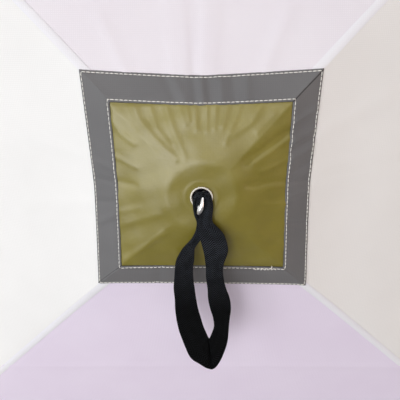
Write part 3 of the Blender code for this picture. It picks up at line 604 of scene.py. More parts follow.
BINDING_CREASES = [
    (-1.3, 2.2, [(-9, 127), (-5, 98)]), (1.4, 2, [(-1, 125), (2, 99)]),
    (-1.1, 2.4, [(7.5, 123), (11, 100)]), (1.1, 2, [(-30, 124), (-17, 101)]),
    (-1, 2.2, [(-40, 124), (-29, 102)]), (1.3, 2.2, [(101, 56), (128, 67)]),
    (-1.3, 2.4, [(100.5, 18), (124, 33)]), (1, 1.8, [(100, 35), (125, 48)]),
    (-1, 1.6, [(-124, 11.5), (-99, 9.5)]), (-1, 1.6, [(99, 10.5), (124, 9)]),
    (1.1, 2, [(-124, -46), (-100, -31)]), (1, 2.2, [(30, -124), (26, -99)]),
    (-1, 2.2, [(-56, -125), (-50, -99)]), (1.3, 1.6, [(99, 76), (127, 90)]),
    (-1.2, 1.8, [(99, 46), (127, 58)]), (1.2, 1.6, [(99, -8), (125, -2)]),
    (-1, 1.8, [(100, -40), (124, -44)]), (1, 1.8, [(-124, 33), (-100, 25)]),
    (-0.9, 1.8, [(-124, -18), (-99, -15)]), (1.2, 1.8, [(20, 123), (23, 100)]),
    (-1.1, 2, [(33, 123), (36, 101)]), (1.1, 2, [(48, 124), (50, 102)]),
]


def olive_lift(face, u, v):
    """How far the olive stands off the tent's cloth."""
    a, b = turned_to(face, u, v)
    slack = 0.00022 * (np.sin(a * 170 + b * 60) + np.sin(b * 210 - a * 90 + 1.0))
    return np.maximum(OLIVE_LIFT + OLIVE_FREE + slack + creased(a, b, OLIVE_CREASES), OLIVE_LEAST)


def binding_edges(u, v):
    """The binding's outer and inner half sides towards a point, and the point's own."""
    half = np.maximum(np.abs(u), np.abs(v))
    from_corner = 1 - (np.minimum(np.abs(u), np.abs(v)) / half) ** BOW_POWER
    outer_bow = np.where(v <= -half, LOWER_BOW, OUTER_BOW)
    return BINDING_OUTER * (1 - outer_bow * from_corner), BINDING_INNER * (1 - INNER_BOW * from_corner), half


def on_binding(face, u, v, lift):
    """Points of the binding, whose corners were folded by hand and lie a little off the square."""
    half = np.maximum(np.abs(u), np.abs(v))
    outward = ramp(half, BINDING_INNER, BINDING_OUTER)
    shift = np.zeros((len(half), 2))
    for (su, sv), inner, outer in BINDING_CORNERS:
        weight = (1 + su * u / half) * (1 + sv * v / half) / 4
        shift += weight[:, None] * (np.outer(1 - outward, inner) + np.outer(outward, outer))
    return on_cloth(face, u + shift[:, 0] / 1000, v + shift[:, 1] / 1000, lift)


def binding_lift(face, u, v):
    """How far the binding's upper side stands off the tent's cloth."""
    outer, inner, half = binding_edges(u, v)
    from_edge = np.minimum(outer - half, half - inner)
    body = BINDING_THICK * np.sin(pi / 2 * ramp(from_edge, 0, TURNED_EDGE))
    over_olive = OLIVE_LIFT * ramp(half, OLIVE_HALF + 0.003, OLIVE_HALF)
    drawn_in = sum(SEWN_DEPTH * np.exp(-((edge - SEWN_IN) / SEWN_WIDTH) ** 2)
                   for edge in (outer - half, half - inner))
    # At each mitre the upper or lower strip laps over the side one.
    past = np.abs(v) - np.abs(u)
    lapped = MITRE_LAP * (0.5 + 0.5 * np.tanh(past / MITRE_STEP)) * np.exp(-np.clip(past, 0, None) / MITRE_FADE)
    a, b = turned_to(face, u, v)
    away = ramp(from_edge, 0, 0.004)
    folds = creased(a, b, BINDING_CREASES) * away
    puckers = PUCKER_HEIGHT * np.sin(2 * pi * np.minimum(np.abs(u), np.abs(v)) / PUCKER_PITCH) * (1 - away)
    return BINDING_LIFT + over_olive + body - drawn_in + lapped + folds + puckers


made, tree = blank_material("coated_nylon_olive")
# Close plain weave under a polyurethane coat: it shines softly where it turns to the lamp. Its threads
# are really 0.4 mm apart, and are drawn 1.7 mm apart so that they show.
clouds = add(tree, "TexNoise", {"Vector": flat_mm(tree), "Scale": 0.03, "Detail": 4.0}).outputs[0]
colour = between(tree, scaled(tree, clouds, 0.3, 0.7), "#796f1d", "#827824")
threads = weave(tree, 1.7)
# Painted shade: the hollows between the threads are painted up to 3.5% darker.
painted_weave_shade = scaled(tree, threads, 0.0, 1.0, 0.965, 1.0)
colour = add(tree, "VectorMath", {0: colour, 1: painted_weave_shade}, operation="MULTIPLY").outputs[0]
crumple = add(tree, "TexNoise", {"Vector": flat_mm(tree), "Scale": 0.09, "Detail": 3.0}).outputs[0]
height = add(tree, "Math", {0: crumple, 1: 9.0, 2: threads}, operation="MULTIPLY_ADD").outputs[0]
olive_cloth = finish_material(made, tree, (height, 0.05, 1.0), Base_Color=colour, IOR=1.50, Coat_Weight=0.95,
                              Roughness=scaled(tree, clouds, 0.3, 0.7, 0.38, 0.46), Coat_Roughness=0.38)
grey_cloth = oxford("polyester_oxford_grey", "#6a6a6c", "#626264", 2.0, 0.6, 0.35, 0.08)
# A darker grey: painted shade at the binding's turned edges and at two of its mitres.
grey_painted_shade = oxford("polyester_oxford_grey_painted_edge_shade", "#3e3e40", "#373739", 2.0, 0.8, 0.1, 0.08)

for face in FACE_FRAMES:
    near = face == "front"
    count = 132 if near else 84
    side = np.linspace(-OLIVE_HALF, OLIVE_HALF, count)
    flat = np.stack(np.meshgrid(side, side), -1).reshape(-1, 2)
    faces = net(count, count)
    radius = np.hypot(*flat.T)
    faces = faces[radius[faces].mean(1) > OLIVE_HOLE]
    close = radius < OLIVE_HOLE + 0.0004
    flat[close] *= (OLIVE_HOLE / np.maximum(radius[close], 1e-6))[:, None]
    used, renumbered = np.unique(faces, return_inverse=True)
    flat, faces = flat[used], renumbered.reshape(-1, 4)
    radius = np.hypot(*flat.T)
    free = ramp(radius, CLENCHED_TO, CLENCHED_TO + 0.010)
    lift = CLENCHED_LIFT + (olive_lift(face, *flat.T) - CLENCHED_LIFT) * free
    lift += SWELL * np.exp(-((radius - SWELLS_AT) / SWELL_WIDTH) ** 2)
    # Under the binding it lies flat on the tent's cloth.
    under = ramp(np.abs(flat).max(1), OLIVE_HELD_FROM, OLIVE_HELD_AT)
    lift = lift * (1 - under) + OLIVE_LIFT * under
    olive = new_piece("olive_patch_" + face, on_cloth(face, *flat.T, lift), faces, flat, [olive_cloth])
    pull_with_hub(olive, face, flat)
    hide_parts("hub_patch_" + face)

    around = round_square(150 if near else 90)
    outer, inner, _ = binding_edges(*around.T)
    half = outer + (inner - outer) * ACROSS_STRIP
    flat, _ = rings(half, around)
    lift = binding_lift(face, *flat.T)
    # The strip's turned edges go down to what it lies on.
    flat = np.vstack([flat[:len(around)], flat, flat[-len(around):]])
    lift = np.concatenate([np.full(len(around), 0.0001), lift, np.full(len(around), OLIVE_LIFT)])
    faces = net(len(half) + 2, len(around), True)
    row, column = np.divmod(np.arange(len(faces)), len(around))
    # Painted shade: the first bands from both edges, where the strip turns down, and two of the mitres take the
    # darker grey.
    at_mitre = np.isin(column, [len(around) // 4 - 1, 3 * len(around) // 4 - 1])
    in_painted_shade = (row < 2) | (row > len(half) - 2) | at_mitre
    strip = new_piece("patch_binding_" + face, on_binding(face, *flat.T, lift), faces, flat,
                      [grey_cloth, grey_painted_shade], in_painted_shade)
    pull_with_hub(strip, face, flat)

    rows = []
    square = round_square(120, 0)
    outer, inner, _ = binding_edges(*square.T)
    on_strip = partial(binding_lift, face)
    for row, half in (("outer", outer - SEWN_IN), ("inner", inner + SEWN_IN)):
        rows.append(sewn(f"patch_stitches_{row}_{face}", face, square * half[:, None], on_binding, on_strip,
                         sides=6 if near else 4))
    # The inner row was finished by hand, with crowded stitches and a loose end of thread.
    run = np.linspace(0, 1, 60)
    untidy = [(0.0625 + 0.0285 * run, -0.1008 + 0.0006 * np.sin(run * 37) + 0.0004 * np.sin(run * 71)),
              (0.0830 + 0.0020 * np.sin(run * 5), -0.1000 + 0.0042 * np.sin(run * 2.6))]
    for k, path in enumerate(untidy):
        rows.append(sewn(f"patch_stitches_end_{k}_{face}", face, np.column_stack(path), on_binding,
                         lambda u, v: on_strip(u, v) + 0.0003, sides=6, closed=False))

# ---------------------------------------------------------------------------
# Eyelets. Each is a spun brass ring and washer, clenched through the patch and
# the tent's cloth and enamelled cream, so that its rim is round and glossy.
# ---------------------------------------------------------------------------
EYELET_SEGMENTS = 72
# Its section in mm: radius and n.
EYELET_PROFILE = [
    (10.4, 237.2), (12.4, 237.2), (12.5, 237.6), (12.5, 238), (11.15, 238),
    (11.15, 241.8), (12.25, 241.8), (12.45, 242.1), (12.5, 242.4), (12.43, 242.8),
    (12.2, 243.05), (11.8, 243.2), (11.35, 243.15), (10.95, 242.9), (10.62, 242.5),
    (10.45, 241.9), (10.4, 241), (10.4, 239.5),
]


made, tree = blank_material("brass_enamelled_cream")
# Stoved enamel over brass: smooth, a little orange-peeled, and rubbed darker in patches.
peel = add(tree, "TexNoise", {"Vector": flat_mm(tree), "Scale": 0.8, "Detail": 2.0}).outputs[0]
wear = scaled(tree, add(tree, "TexNoise", {"Vector": flat_mm(tree), "Scale": 0.35}).outputs[0], 0.5, 0.75)
enamel = finish_material(made, tree, (peel, 0.08, 0.5), Base_Color=between(tree, wear, "#e9e5dc", "#cfc6b4"),
                         Roughness=scaled(tree, peel, 0.3, 0.7, 0.24, 0.34), Coat_Weight=0.4)
angles = 2 * pi * np.arange(EYELET_SEGMENTS) / EYELET_SEGMENTS
radius, n = np.array(EYELET_PROFILE).T / 1000
flat, _ = rings(radius[:, None], np.column_stack([np.cos(angles), np.sin(angles)]))
faces = hoop(len(n), EYELET_SEGMENTS)
for face in FACE_FRAMES:
    points = out_of(face, *flat.T, np.repeat(n, EYELET_SEGMENTS))
    eyelet = new_piece("enamelled_eyelet_" + face, points, faces, flat, [enamel])
    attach(eyelet, "hub_" + face)
    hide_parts("eyelet_" + face)

# ---------------------------------------------------------------------------
# Strap rings. A long oval ring of polished steel wire hangs on the bar across
# each hub and comes out through the eyelet to hold the pull strap.
# ---------------------------------------------------------------------------
RING_WIRE = 0.0016
RING_TILT = radians(25)
WIRE_SIDES = 20
RING_LEANS = (0.2370, 0.2445)
# The ring's middle line in its own plane, in mm: along the ring, out of the face from the bar, sideways,
# and how much wider than the round wire it is, where its bend is hammered flat.
RING_LINE = [
    (6.9, 234.5, 0, 1), (6.0, 231.0, 0, 1), (3.4, 228.5, 0, 1), (0.0, 227.6, 0, 1), (-3.4, 228.5, 0, 1),
    (-6.0, 231.0, 0, 1), (-6.9, 234.5, 0, 1), (-7.9, 239.5, 0.2, 1), (-8.9, 244.2, 0.8, 1),
    (-11.4, 246.8, 2.0, 1), (-14.2, 248.4, 2.9, 1.05), (-15.0, 250.2, 3.3, 1.15), (-12.8, 251.6, 3.5, 1.35),
    (-9.6, 252.3, 3.4, 1.5), (-6.2, 251.9, 2.9, 1.4), (-3.0, 250.4, 2.0, 1.2), (0.2, 247.6, 1.0, 1),
    (2.6, 244.2, 0.6, 1), (4.4, 240.4, 0.3, 1),
]


def smooth_line(rows, steps):
    """A smooth closed line through rows of numbers; a sixth number turns by 360 in one lap."""
    rows = np.array(rows)
    lap = 360 * (np.arange(rows.shape[1]) == 5)
    a, b, c, d = (np.roll(rows, -k, 0)[:, None] for k in (-1, 0, 1, 2))
    a[0] -= lap
    c[-1] += lap
    d[-2:] += lap
    t = (np.arange(steps) / steps)[:, None]
    made = b + t * (c - a) / 2 + t * t * (a - 2.5 * b + 2 * c - d / 2) + t ** 3 * (-a + 3 * b - 3 * c + d) / 2
    return made.reshape(-1, rows.shape[1])


made, tree = blank_material("steel_wire_polished")
# Drawn and tumbled wire: bright, with faint lengthwise scratches that soften its reflections.
place = add(tree, "TexCoord", {}).outputs["Object"]
scratches = add(tree, "TexNoise", {"Vector": place, "Scale": 900.0, "Detail": 2.0}).outputs[0]
steel = finish_material(made, tree, (scratches, 0.03, 0.3), Metallic=1.0,
                        Base_Color=between(tree, scratches, "#dcdcdd", "#f0f0f0"),
                        Roughness=scaled(tree, scratches, 0.3, 0.7, 0.24, 0.34))
sideways = np.array((sin(RING_TILT), cos(RING_TILT), 0))
flank = np.cross(sideways, (0, 0, 1))
rows = smooth_line(RING_LINE, 6)
line = rows[:, :3] / 1000 @ np.array([sideways, (0, 0, 1), flank])
along = unit(np.roll(line, -1, 0) - np.roll(line, 1, 0))
inward = unit(np.cross(along, flank))
across = np.cross(inward, along) * rows[:, 3:]
angles = 2 * pi * np.arange(WIRE_SIDES)[:, None] / WIRE_SIDES
ring = line[:, None] + RING_WIRE * (np.cos(angles) * across[:, None] + np.sin(angles) * inward[:, None])
ring = ring.reshape(-1, 3)
for face in FACE_FRAMES:
    points, faces = out_of(face, *ring.T), hoop(len(line), WIRE_SIDES)
    piece = new_piece("steel_ring_" + face, points, faces, ring[:, :2], [steel])
    # Two points on the hub's axis, for the bend to lean out with the strap while the legs stay on the hub's bar;
    # nothing uses them.
    low, high = (tuple(out_of(face, 0, 0, n)[0]) for n in RING_LEANS)
    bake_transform(piece)
    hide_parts("strap_ring_" + face)

# ---------------------------------------------------------------------------
# Pull straps. Each is one loop of black polypropylene webbing, 25 mm wide and
# woven in a herringbone. It is bunched through the steel ring, so that its
# right strand lies over its left one there, and it is creased at its fold.
# ---------------------------------------------------------------------------
STRAP_AXIS_N = 0.2435
WEBBING_WIDTH = 0.025
STATIONS_PER_SPAN = 5
STRANDS_ACROSS = 17
STRAP_HALF_MM = 223.0
WEBBING_THICKNESS = 0.0014
PLEAT_GAP = 0.0002
# Middle line in mm, from the ring down the left side, round the fold and up the right side:
# u, v, n from the ring's bend, width, thickness as bunched, and the width's direction in degrees.
STRAP_LINE = [
    (1, 0, 1.6, 15, 4.4, 84), (-2.8, 0.2, 1.4, 13.8, 4.4, 92),
    (-6, -1.6, 1.4, 10, 4, 116), (-7.3, -8.5, 1.6, 5.6, 3.6, 146),
    (-6.2, -15, 1.8, 6.2, 3.4, 164), (-3.6, -21.5, 2, 8.4, 3.2, 176),
    (-1.4, -28, 2, 8.6, 2.8, 180), (-1.2, -36, 1.8, 10.5, 2.4, 180),
    (-3.2, -43, 1.6, 11.2, 2.2, 178), (-7.8, -50.5, 1.4, 10.8, 2, 176),
    (-14.3, -59.2, 1.4, 13, 1.8, 174), (-17.2, -67, 1.6, 17.3, 1.6, 176),
    (-19.3, -75, 1.8, 20.6, 1.6, 178), (-20.8, -84.6, 2, 21, 1.6, 180),
    (-21.2, -97.6, 2.2, 22.1, 1.6, 180), (-21.1, -110.9, 2.2, 24.6, 1.6, 181),
    (-20, -124.3, 2.2, 25, 1.6, 183), (-19, -138, 2.2, 26.8, 1.6, 185),
    (-16.9, -151.9, 2.2, 29, 1.6, 188), (-14, -166.1, 2.2, 30.5, 1.6, 194),
    (-10.5, -177.5, 2.2, 31.2, 1.6, 203), (-7.2, -187.2, 2.2, 32.5, 1.6, 214),
    (-4, -195.6, 2.2, 36, 1.6, 234), (0.9, -199.7, 2.2, 38.3, 1.6, 252),
    (6, -203.5, 1.8, 44, 1.6, 266), (9, -205.9, -1.2, 48.2, 1.7, 275),
    (11.3, -203.2, 1.2, 44, 1.6, 282), (13.6, -199.6, 2, 38.5, 1.6, 289),
    (17.1, -191, 2.2, 29, 1.6, 307), (19.9, -181.5, 2.2, 23.4, 1.6, 327),
    (21.4, -172.5, 2.2, 19.6, 1.6, 345), (22.4, -164, 2.2, 18, 1.6, 355),
    (22.3, -151.9, 2.2, 20, 1.6, 358), (21.2, -138, 2.2, 24.7, 1.6, 360),
    (19.2, -124.3, 2.2, 25.4, 1.6, 360), (16.7, -110.9, 2.2, 21.6, 1.6, 360),
    (14.5, -97.6, 2.4, 20.4, 1.6, 360), (13.9, -84.6, 2.8, 19.6, 1.6, 360),
    (14.5, -75, 3.2, 22.6, 1.6, 360), (15.6, -65.5, 3.6, 26.8, 1.6, 361),
    (14.8, -57.3, 4, 28.4, 1.6, 362), (12.6, -48.1, 4.6, 28.2, 1.6, 363),
    (10.4, -40.7, 5, 26.8, 1.7, 364), (7.1, -33.5, 5.4, 21.8, 2, 365),
    (4, -27, 5.7, 16.5, 2.6, 367), (4.2, -20, 5.8, 15.6, 3, 371),
    (5.8, -12, 4.4, 14.6, 3.4, 380), (6.6, -5.8, 3, 13.4, 4, 404),
    (4.6, -1.2, 2, 14.6, 4.2, 430),
]


def falls_away(v):
    """How far the roof's cloth has dropped below its hub, under a strap that lies on it."""
    below = np.minimum(v, -PLATEAU_RADIUS)
    return cloth("roof", 0 * below, below)[2] - PLATEAU_N


def pull_strap(face):
    """The loop of webbing as a closed band, with bunched pleats near the ring."""
    rows = smooth_line(STRAP_LINE, STATIONS_PER_SPAN).T
    (u, v, n, width, thick), heading = rows[:5] / 1000, np.radians(rows[5])
    line = np.column_stack([u, v, n + STRAP_AXIS_N])
    across = np.column_stack([np.cos(heading), np.sin(heading), 0 * heading])
    along = np.roll(line, -1, 0) - np.roll(line, 1, 0)
    up = unit(np.cross(across, along))
    up *= np.sign(up[:, 2:])
    x = np.sin(np.linspace(-pi / 2, pi / 2, STRANDS_ACROSS))
    edge = np.sqrt(np.clip(1 - np.abs(x) ** 8, 0, 1)) * WEBBING_THICKNESS / 2
    wave = np.maximum(thick - WEBBING_THICKNESS - PLEAT_GAP, 0)[:, None] / 2 * np.sin(1.5 * pi * x)
    # Loose webbing is never quite flat: it cups a little and rolls along its length.
    walked = np.cumsum(np.linalg.norm(along, axis=1) / 2)
    cup = 0.0006 * np.sin(walked * 95)[:, None] * x + 0.0005 * np.sin(walked * 60 + 1)[:, None] * (x ** 2 - 0.4)
    cup *= np.clip(-v / 0.05 - 0.4, 0, 1)[:, None]
    spread = line[:, None] + across[:, None] * (x * width[:, None] / 2)[..., None]
    upper = spread + up[:, None] * (wave + cup + edge)[..., None]
    lower = (spread + up[:, None] * (wave + cup - edge)[..., None])[:, ::-1]
    band = np.concatenate([upper, lower[:, 1:-1]], 1)
    if face == "roof":
        band[..., 2] += falls_away(band[..., 1].ravel()).reshape(band.shape[:2])
    points, faces = out_of(face, *band.reshape(-1, 3).T), hoop(*band.shape[:2])
    place = np.concatenate([x, x[::-1][1:-1]]) * WEBBING_WIDTH / 2
    flat = np.stack(np.broadcast_arrays(place[None], walked[:, None]), -1).reshape(-1, 2)
    return new_piece("webbing_strap_" + face, points, faces, flat, [webbing]), float(walked[-1])


made, tree = blank_material("polypropylene_webbing_black")
# Herringbone of 1.3 mm strands, drawn 2.6 mm apart so that it shows: they slant to and fro in columns.
flat = flat_mm(tree)
place = add(tree, "SeparateXYZ", {0: flat})
zigzag = add(tree, "Math", {0: place.outputs[0], 1: 4.2}, operation="PINGPONG").outputs[0]
slant = add(tree, "Math", {0: zigzag, 1: 1.1, 2: place.outputs[1]}, operation="MULTIPLY_ADD").outputs[0]
turns = add(tree, "Math", {0: slant, 1: 2 * pi / 2.6}, operation="MULTIPLY").outputs[0]
strand = scaled(tree, add(tree, "Math", {0: turns}, operation="SINE").outputs[0], -1.0, 1.0)
# Painted sheen: the crowns of both strands are painted paler near the ring than at the fold, and in patches, as
# highlights.
from_ring = add(tree, "Math", {0: place.outputs[1], 1: STRAP_HALF_MM}, operation="PINGPONG").outputs[0]
sheen_patches = add(tree, "TexNoise", {"Vector": flat, "Scale": 0.09, "Detail": 3.0}).outputs[0]
painted_sheen_near_ring = add(tree, "Math", {0: scaled(tree, from_ring, 70.0, 150.0, 1.0, 0.12), 1: scaled(tree, sheen_patches, 0.3, 0.6, 0.5)},
           operation="MULTIPLY").outputs[0]
# Only the strands' crowns take the pale bluish colour: a painted highlight.
crown = add(tree, "Math", {0: strand, 1: 7.0}, operation="POWER").outputs[0]
lit = add(tree, "Math", {0: crown, 1: painted_sheen_near_ring}, operation="MULTIPLY").outputs[0]
webbing = finish_material(made, tree, (strand, 0.35, 1.0), Base_Color=between(tree, lit, "#010101", "#565c66"),
                          Roughness=scaled(tree, strand, 0.0, 1.0, 0.8, 0.5), Specular_IOR_Level=0.05)
for face in FACE_FRAMES:
    strap, length = pull_strap(face)
    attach(strap, "pull_strap_" + face)
    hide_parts("pull_strap_" + face)

# ---------------------------------------------------------------------------
# Windows. A sheet of clear plasticised PVC lies over an opening high in each
# side wall; its rim is welded flat with a knurled roller and sewn down.
# ---------------------------------------------------------------------------
WINDOW_LAP = 0.014
FILM_LOW, FILM_HIGH, RIM_DEEPER = 0.0004, 0.0011, 0.0003
FILM_BULGE = 0.0015
FILM_PER_SIDE = 24


def inset(outline, distance):
    """A convex outline, anticlockwise, with every side moved in by a distance."""
    corners = np.asarray(outline, float)
    before, after = unit(corners - np.roll(corners, 1, 0)), unit(np.roll(corners, -1, 0) - corners)
    turn = before[:, 0] * after[:, 1] - before[:, 1] * after[:, 0]
    return corners + distance * (after - before) / turn[:, None]


def along_sides(outline, per_side):
    """Points spaced evenly along each side of an outline, from its first corner."""
    share = np.linspace(0, 1, per_side, endpoint=False)[:, None]
    return np.concatenate([a + (b - a) * share for a, b in zip(outline, np.roll(outline, -1, 0))])


def ringed(outline, distances, per_side):
    """A flat sheet as rings of points, each a distance inside an outline."""
    flat = np.concatenate([along_sides(inset(outline, d), per_side) for d in distances])
    return flat, net(len(distances), 4 * per_side, True).tolist()


made, tree = blank_material("pvc_film_clear")
# Calendered film: clear and glossy, with the long soft waves that it keeps from being rolled.
waves = add(tree, "TexNoise", {"Vector": flat_mm(tree, 1.0, 0.3), "Scale": 0.022, "Detail": 1.0}).outputs[0]
film_clear = finish_material(made, tree, (waves, 1.2, 1.0), Transmission_Weight=0.95, IOR=1.53,
                             Base_Color=between(tree, waves, "#eef3f4", "#e3ebee"),
                             Roughness=scaled(tree, waves, 0.3, 0.7, 0.03, 0.08))
made, tree = blank_material("pvc_film_welded")
# The welded rim carries the roller's pattern of 2 mm pips, which makes the film look milky.
pips = weave(tree, 2.0)
film_welded = finish_material(made, tree, (pips, 0.3, 1.0), Transmission_Weight=0.55, IOR=1.53,
                              Base_Color=between(tree, pips, "#d3d9db", "#eef1f1"),
                              Roughness=scaled(tree, pips, 0.0, 1.0, 0.42, 0.25))
film_outline = inset(window_outline, -WINDOW_LAP)
distances = np.array([0, 0.0007, 0.004, 0.009, 0.0133, 0.0145, 0.022, 0.035, 0.05, 0.07, 0.09, 0.1105])
flat, upper = ringed(film_outline, distances, FILM_PER_SIDE)
around, count = 4 * FILM_PER_SIDE, len(flat)
in_rim = distances < WINDOW_LAP
welded = [in_rim[f[2] // around] for f in upper] + [False]
upper.append(list(range(count - around, count)))
lower = [[i + count for i in f[::-1]] for f in upper]
edge = [[i + count, (i + 1) % around + count, (i + 1) % around, i] for i in range(around)]
bulge = np.repeat(FILM_BULGE * np.sin(pi / 2 * ramp(distances, WINDOW_LAP, WINDOW_LAP + 0.09)), around)
flat_twice = np.vstack([flat, flat])
for face in ("left", "right"):
    high = on_cloth(face, *flat.T, FILM_HIGH - RIM_DEEPER * np.repeat(in_rim, around) + bulge)
    low = on_cloth(face, *flat.T, FILM_LOW + bulge)
    film = new_piece("window_film_" + face, np.vstack([high, low]), upper + lower + edge, flat_twice,
                     [film_clear, film_welded], 2 * welded + [True] * around)
    pull_with_hub(film, face, flat_twice)
    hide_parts("window_" + face)
    path = along_sides(inset(film_outline, 0.006), 60)
    seam = sewn("window_stitches_" + face, face, path, on_cloth, FILM_HIGH)

# ---------------------------------------------------------------------------
# Door. The lower panel of the right wall is cut out as one leaf, hemmed all
# round. Its left edge is sewn to a tape, which turns it like a hinge, and a
# coil zip on the tape closes the other three. The slider is pressed steel.
# ---------------------------------------------------------------------------
DOOR_SILL, DOOR_HEAD = 0.06, 0.66
TAPE_EDGE, TAPE_WIDTH = 0.0007, 0.0297
TAPE_ROWS = (0.0075, 0.0262)
LEAF_INSET = 0.0307
LEAF_HEM, LEAF_HEM_THICK, LEAF_SEWN_IN = 0.024, 0.0009, 0.0035
LEAF_DEEP, LEAF_SLACK = -0.0012, 0.008
LEAF_MIDDLE = 0.2687
LEAF_CORNER_CUT = 0.0046
TAPE_DEEP = -0.0010
# Across the tape, from its outer edge: distance and height. The coil's loops stand up from COIL_FROM.
TAPE_SECTION = np.array([
    (TAPE_EDGE, -0.0005), (0.0013, 0), (0.0060, 0), (0.0118, 0), (0.0120, 0.0003), (0.0132, 0.0009),
    (0.0150, 0.0011), (0.0168, 0.0009), (0.0180, 0.0003), (0.0182, 0), (0.0240, 0), (0.0291, 0),
    (TAPE_WIDTH, -0.0004),
])
COIL_FROM, LOOP_LOW, HINGE_CORD = 0.0002, 0.55, 0.25
TAPE_PER_SIDE, LEAF_PER_SIDE = 400, 70


def on_door(x, y, lift=0.0):
    """Points on the right wall's flat lower panel, from the middle of its foot, in the row frame."""
    v = (HALF_SIDE * y - BULGE * lift) / PANEL_LENGTH - HALF_SIDE
    return out_of("right", x, v, (BULGE * y + HALF_SIDE * lift) / PANEL_LENGTH)


made, tree = blank_material("polyester_zip_tape_grey")
# Woven zip tape with a moulded coil: a fine rib, drawn 1.4 mm apart where the real one is 0.7 mm, and
# a dull shine on the coil.
rib = add(tree, "TexWave", {"Vector": flat_mm(tree), "Scale": pi / 10 / 1.4, "Distortion": 0.3},
          bands_direction="DIAGONAL").outputs["Fac"]
zip_cloth = finish_material(made, tree, (rib, 0.1, 1.0), Base_Color=between(tree, rib, "#5f5f5e", "#747372"),
                            Roughness=scaled(tree, rib, 0.0, 1.0, 0.7, 0.5), Sheen_Weight=0.2)
panel = trapezium(DOOR_HALF_LOW, DOOR_SILL, DOOR_HALF_HIGH, DOOR_HEAD)
distances, height = TAPE_SECTION.T
flat, faces = ringed(panel, distances, TAPE_PER_SIDE)
# The tape's last side is the hinge, where the coil is only a low cord. Elsewhere every other loop is high.
station = np.arange(4 * TAPE_PER_SIDE)
loops = np.where(station >= 3 * TAPE_PER_SIDE, HINGE_CORD, LOOP_LOW + (1 - LOOP_LOW) * (station % 2))
lift = TAPE_DEEP + (height[:, None] * np.where(height[:, None] > COIL_FROM, loops, 1)).ravel()
tape = new_piece("door_tape_and_coil", on_door(*flat.T, lift), faces, flat, [zip_cloth])
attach(tape, "door_panel")
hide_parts("door_zip_tape")
for k, distance in enumerate(TAPE_ROWS):
    path = along_sides(inset(panel, distance), 90)
    row, flat = stitches(f"door_tape_stitches_{k}", path, on_door, TAPE_DEEP)
    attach(row, "door_panel")

leaf = inset(panel, LEAF_INSET)
distances = np.concatenate([[0, 0.0012, 0.006, 0.012, 0.018, LEAF_HEM - 0.001, LEAF_HEM],
                            np.linspace(LEAF_HEM, LEAF_MIDDLE, 22)[1:]])
flat, faces = ringed(leaf, distances, LEAF_PER_SIDE)
around = 4 * LEAF_PER_SIDE
faces.append(list(range(len(flat) - around, len(flat))))
# The sharp corner at the foot of the hinge is cut, so that it clears the tape as the leaf turns.
split = unit(unit(leaf[1] - leaf[0]) + unit(leaf[3] - leaf[0]))
short = np.clip(LEAF_CORNER_CUT * split[0] - (flat - leaf[0]) @ split, 0, None)
flat = flat + short[:, None] * split
hem = np.repeat(ramp(distances, LEAF_HEM, LEAF_HEM - 0.001) * ramp(distances, 0, 0.0012), around)
slack = np.repeat(ramp(distances, LEAF_HEM, LEAF_HEM + 0.2), around)
x, y = flat.T
waves = 0.6 + 0.25 * np.sin(x * 9 + y * 5) + 0.15 * np.sin(x * 23 - y * 11 + 1)
points = on_door(x, y, LEAF_DEEP + LEAF_HEM_THICK * hem - LEAF_SLACK * slack * waves)
# The leaf takes the foot panels' cloth, painted more violet as painted light from below.
door_leaf = new_piece("door_leaf_cloth", points, faces, flat, [foot_cloth_with_painted_light])
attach(door_leaf, "door_leaf")
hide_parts("door_leaf")
for k, distance in enumerate((LEAF_SEWN_IN, LEAF_HEM - LEAF_SEWN_IN)):
    path = along_sides(inset(leaf, distance), 90)
    if k == 0:
        path[0] += 0.003 * split
    row, flat = stitches(f"door_leaf_stitches_{k}", path, on_door, LEAF_DEEP + LEAF_HEM_THICK)
    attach(row, "door_leaf")

# ---------------------------------------------------------------------------
# Corner patches. Where two walls and the roof meet, the poles' ends bear on
# the cloth, so a square of grey Oxford is folded over each top corner, turned
# in at its free edges and sewn to the cloth.
# ---------------------------------------------------------------------------
PATCH_FROM = 0.805
PATCH_LIFT, PATCH_THICK, PATCH_SEWN_AT = 0.0003, 0.0011, 0.0013
PATCH_SEWN_IN = 0.004
side = np.concatenate([PATCH_FROM + np.array([0, 0.0004, 0.0008, TURNED_EDGE]), np.linspace(0.812, HALF_SIDE, 14)])
a, b = (g.ravel() for g in np.meshgrid(side, side))
body = PATCH_THICK * np.sin(pi / 2 * ramp(np.minimum(a, b), PATCH_FROM, PATCH_FROM + TURNED_EDGE))
lift = PATCH_LIFT + body * np.maximum(ramp(np.maximum(a, b), HALF_SIDE, HALF_SIDE - 0.004), 0.2)
one = net(len(side), len(side))
for face in FACE_FRAMES:
    corners = [(-1, 1), (1, 1)] if face != "roof" else [(-1, -1), (1, -1), (1, 1), (-1, 1)]
    flat = np.concatenate([np.column_stack([su * a, sv * b]) for su, sv in corners])
    faces = np.concatenate([(one if su * sv > 0 else one[:, ::-1]) + k * len(a)
                            for k, (su, sv) in enumerate(corners)])
    points = on_cloth(face, *flat.T, np.tile(lift, len(corners)))
    caps = new_piece("corner_patches_" + face, points, faces, flat, [grey_cloth])
    pull_with_hub(caps, face, flat)
    if face == "roof":
        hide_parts(*(f"corner_cap_{end}_{hand}" for end in ("front", "back") for hand in ("left", "right")))
    near, far = PATCH_FROM + PATCH_SEWN_IN, HALF_SIDE - PATCH_SEWN_IN
    paths = [np.array([(near, far), (near, near), (far, near)]) * corner for corner in corners]
    rows = [sewn(f"corner_stitches_{face}_{k}", face, path, on_cloth, PATCH_SEWN_AT, closed=False)
            for k, path in enumerate(paths)]

# ---------------------------------------------------------------------------
# Poles, hubs and slider. The poles are pultruded glass-fibre rods and the hubs
# are moulded in glass-filled nylon. Their solids have the real shapes, so they
# stay as they are and only take their materials.
# ---------------------------------------------------------------------------
made, tree = blank_material("glass_fibre_pultruded")
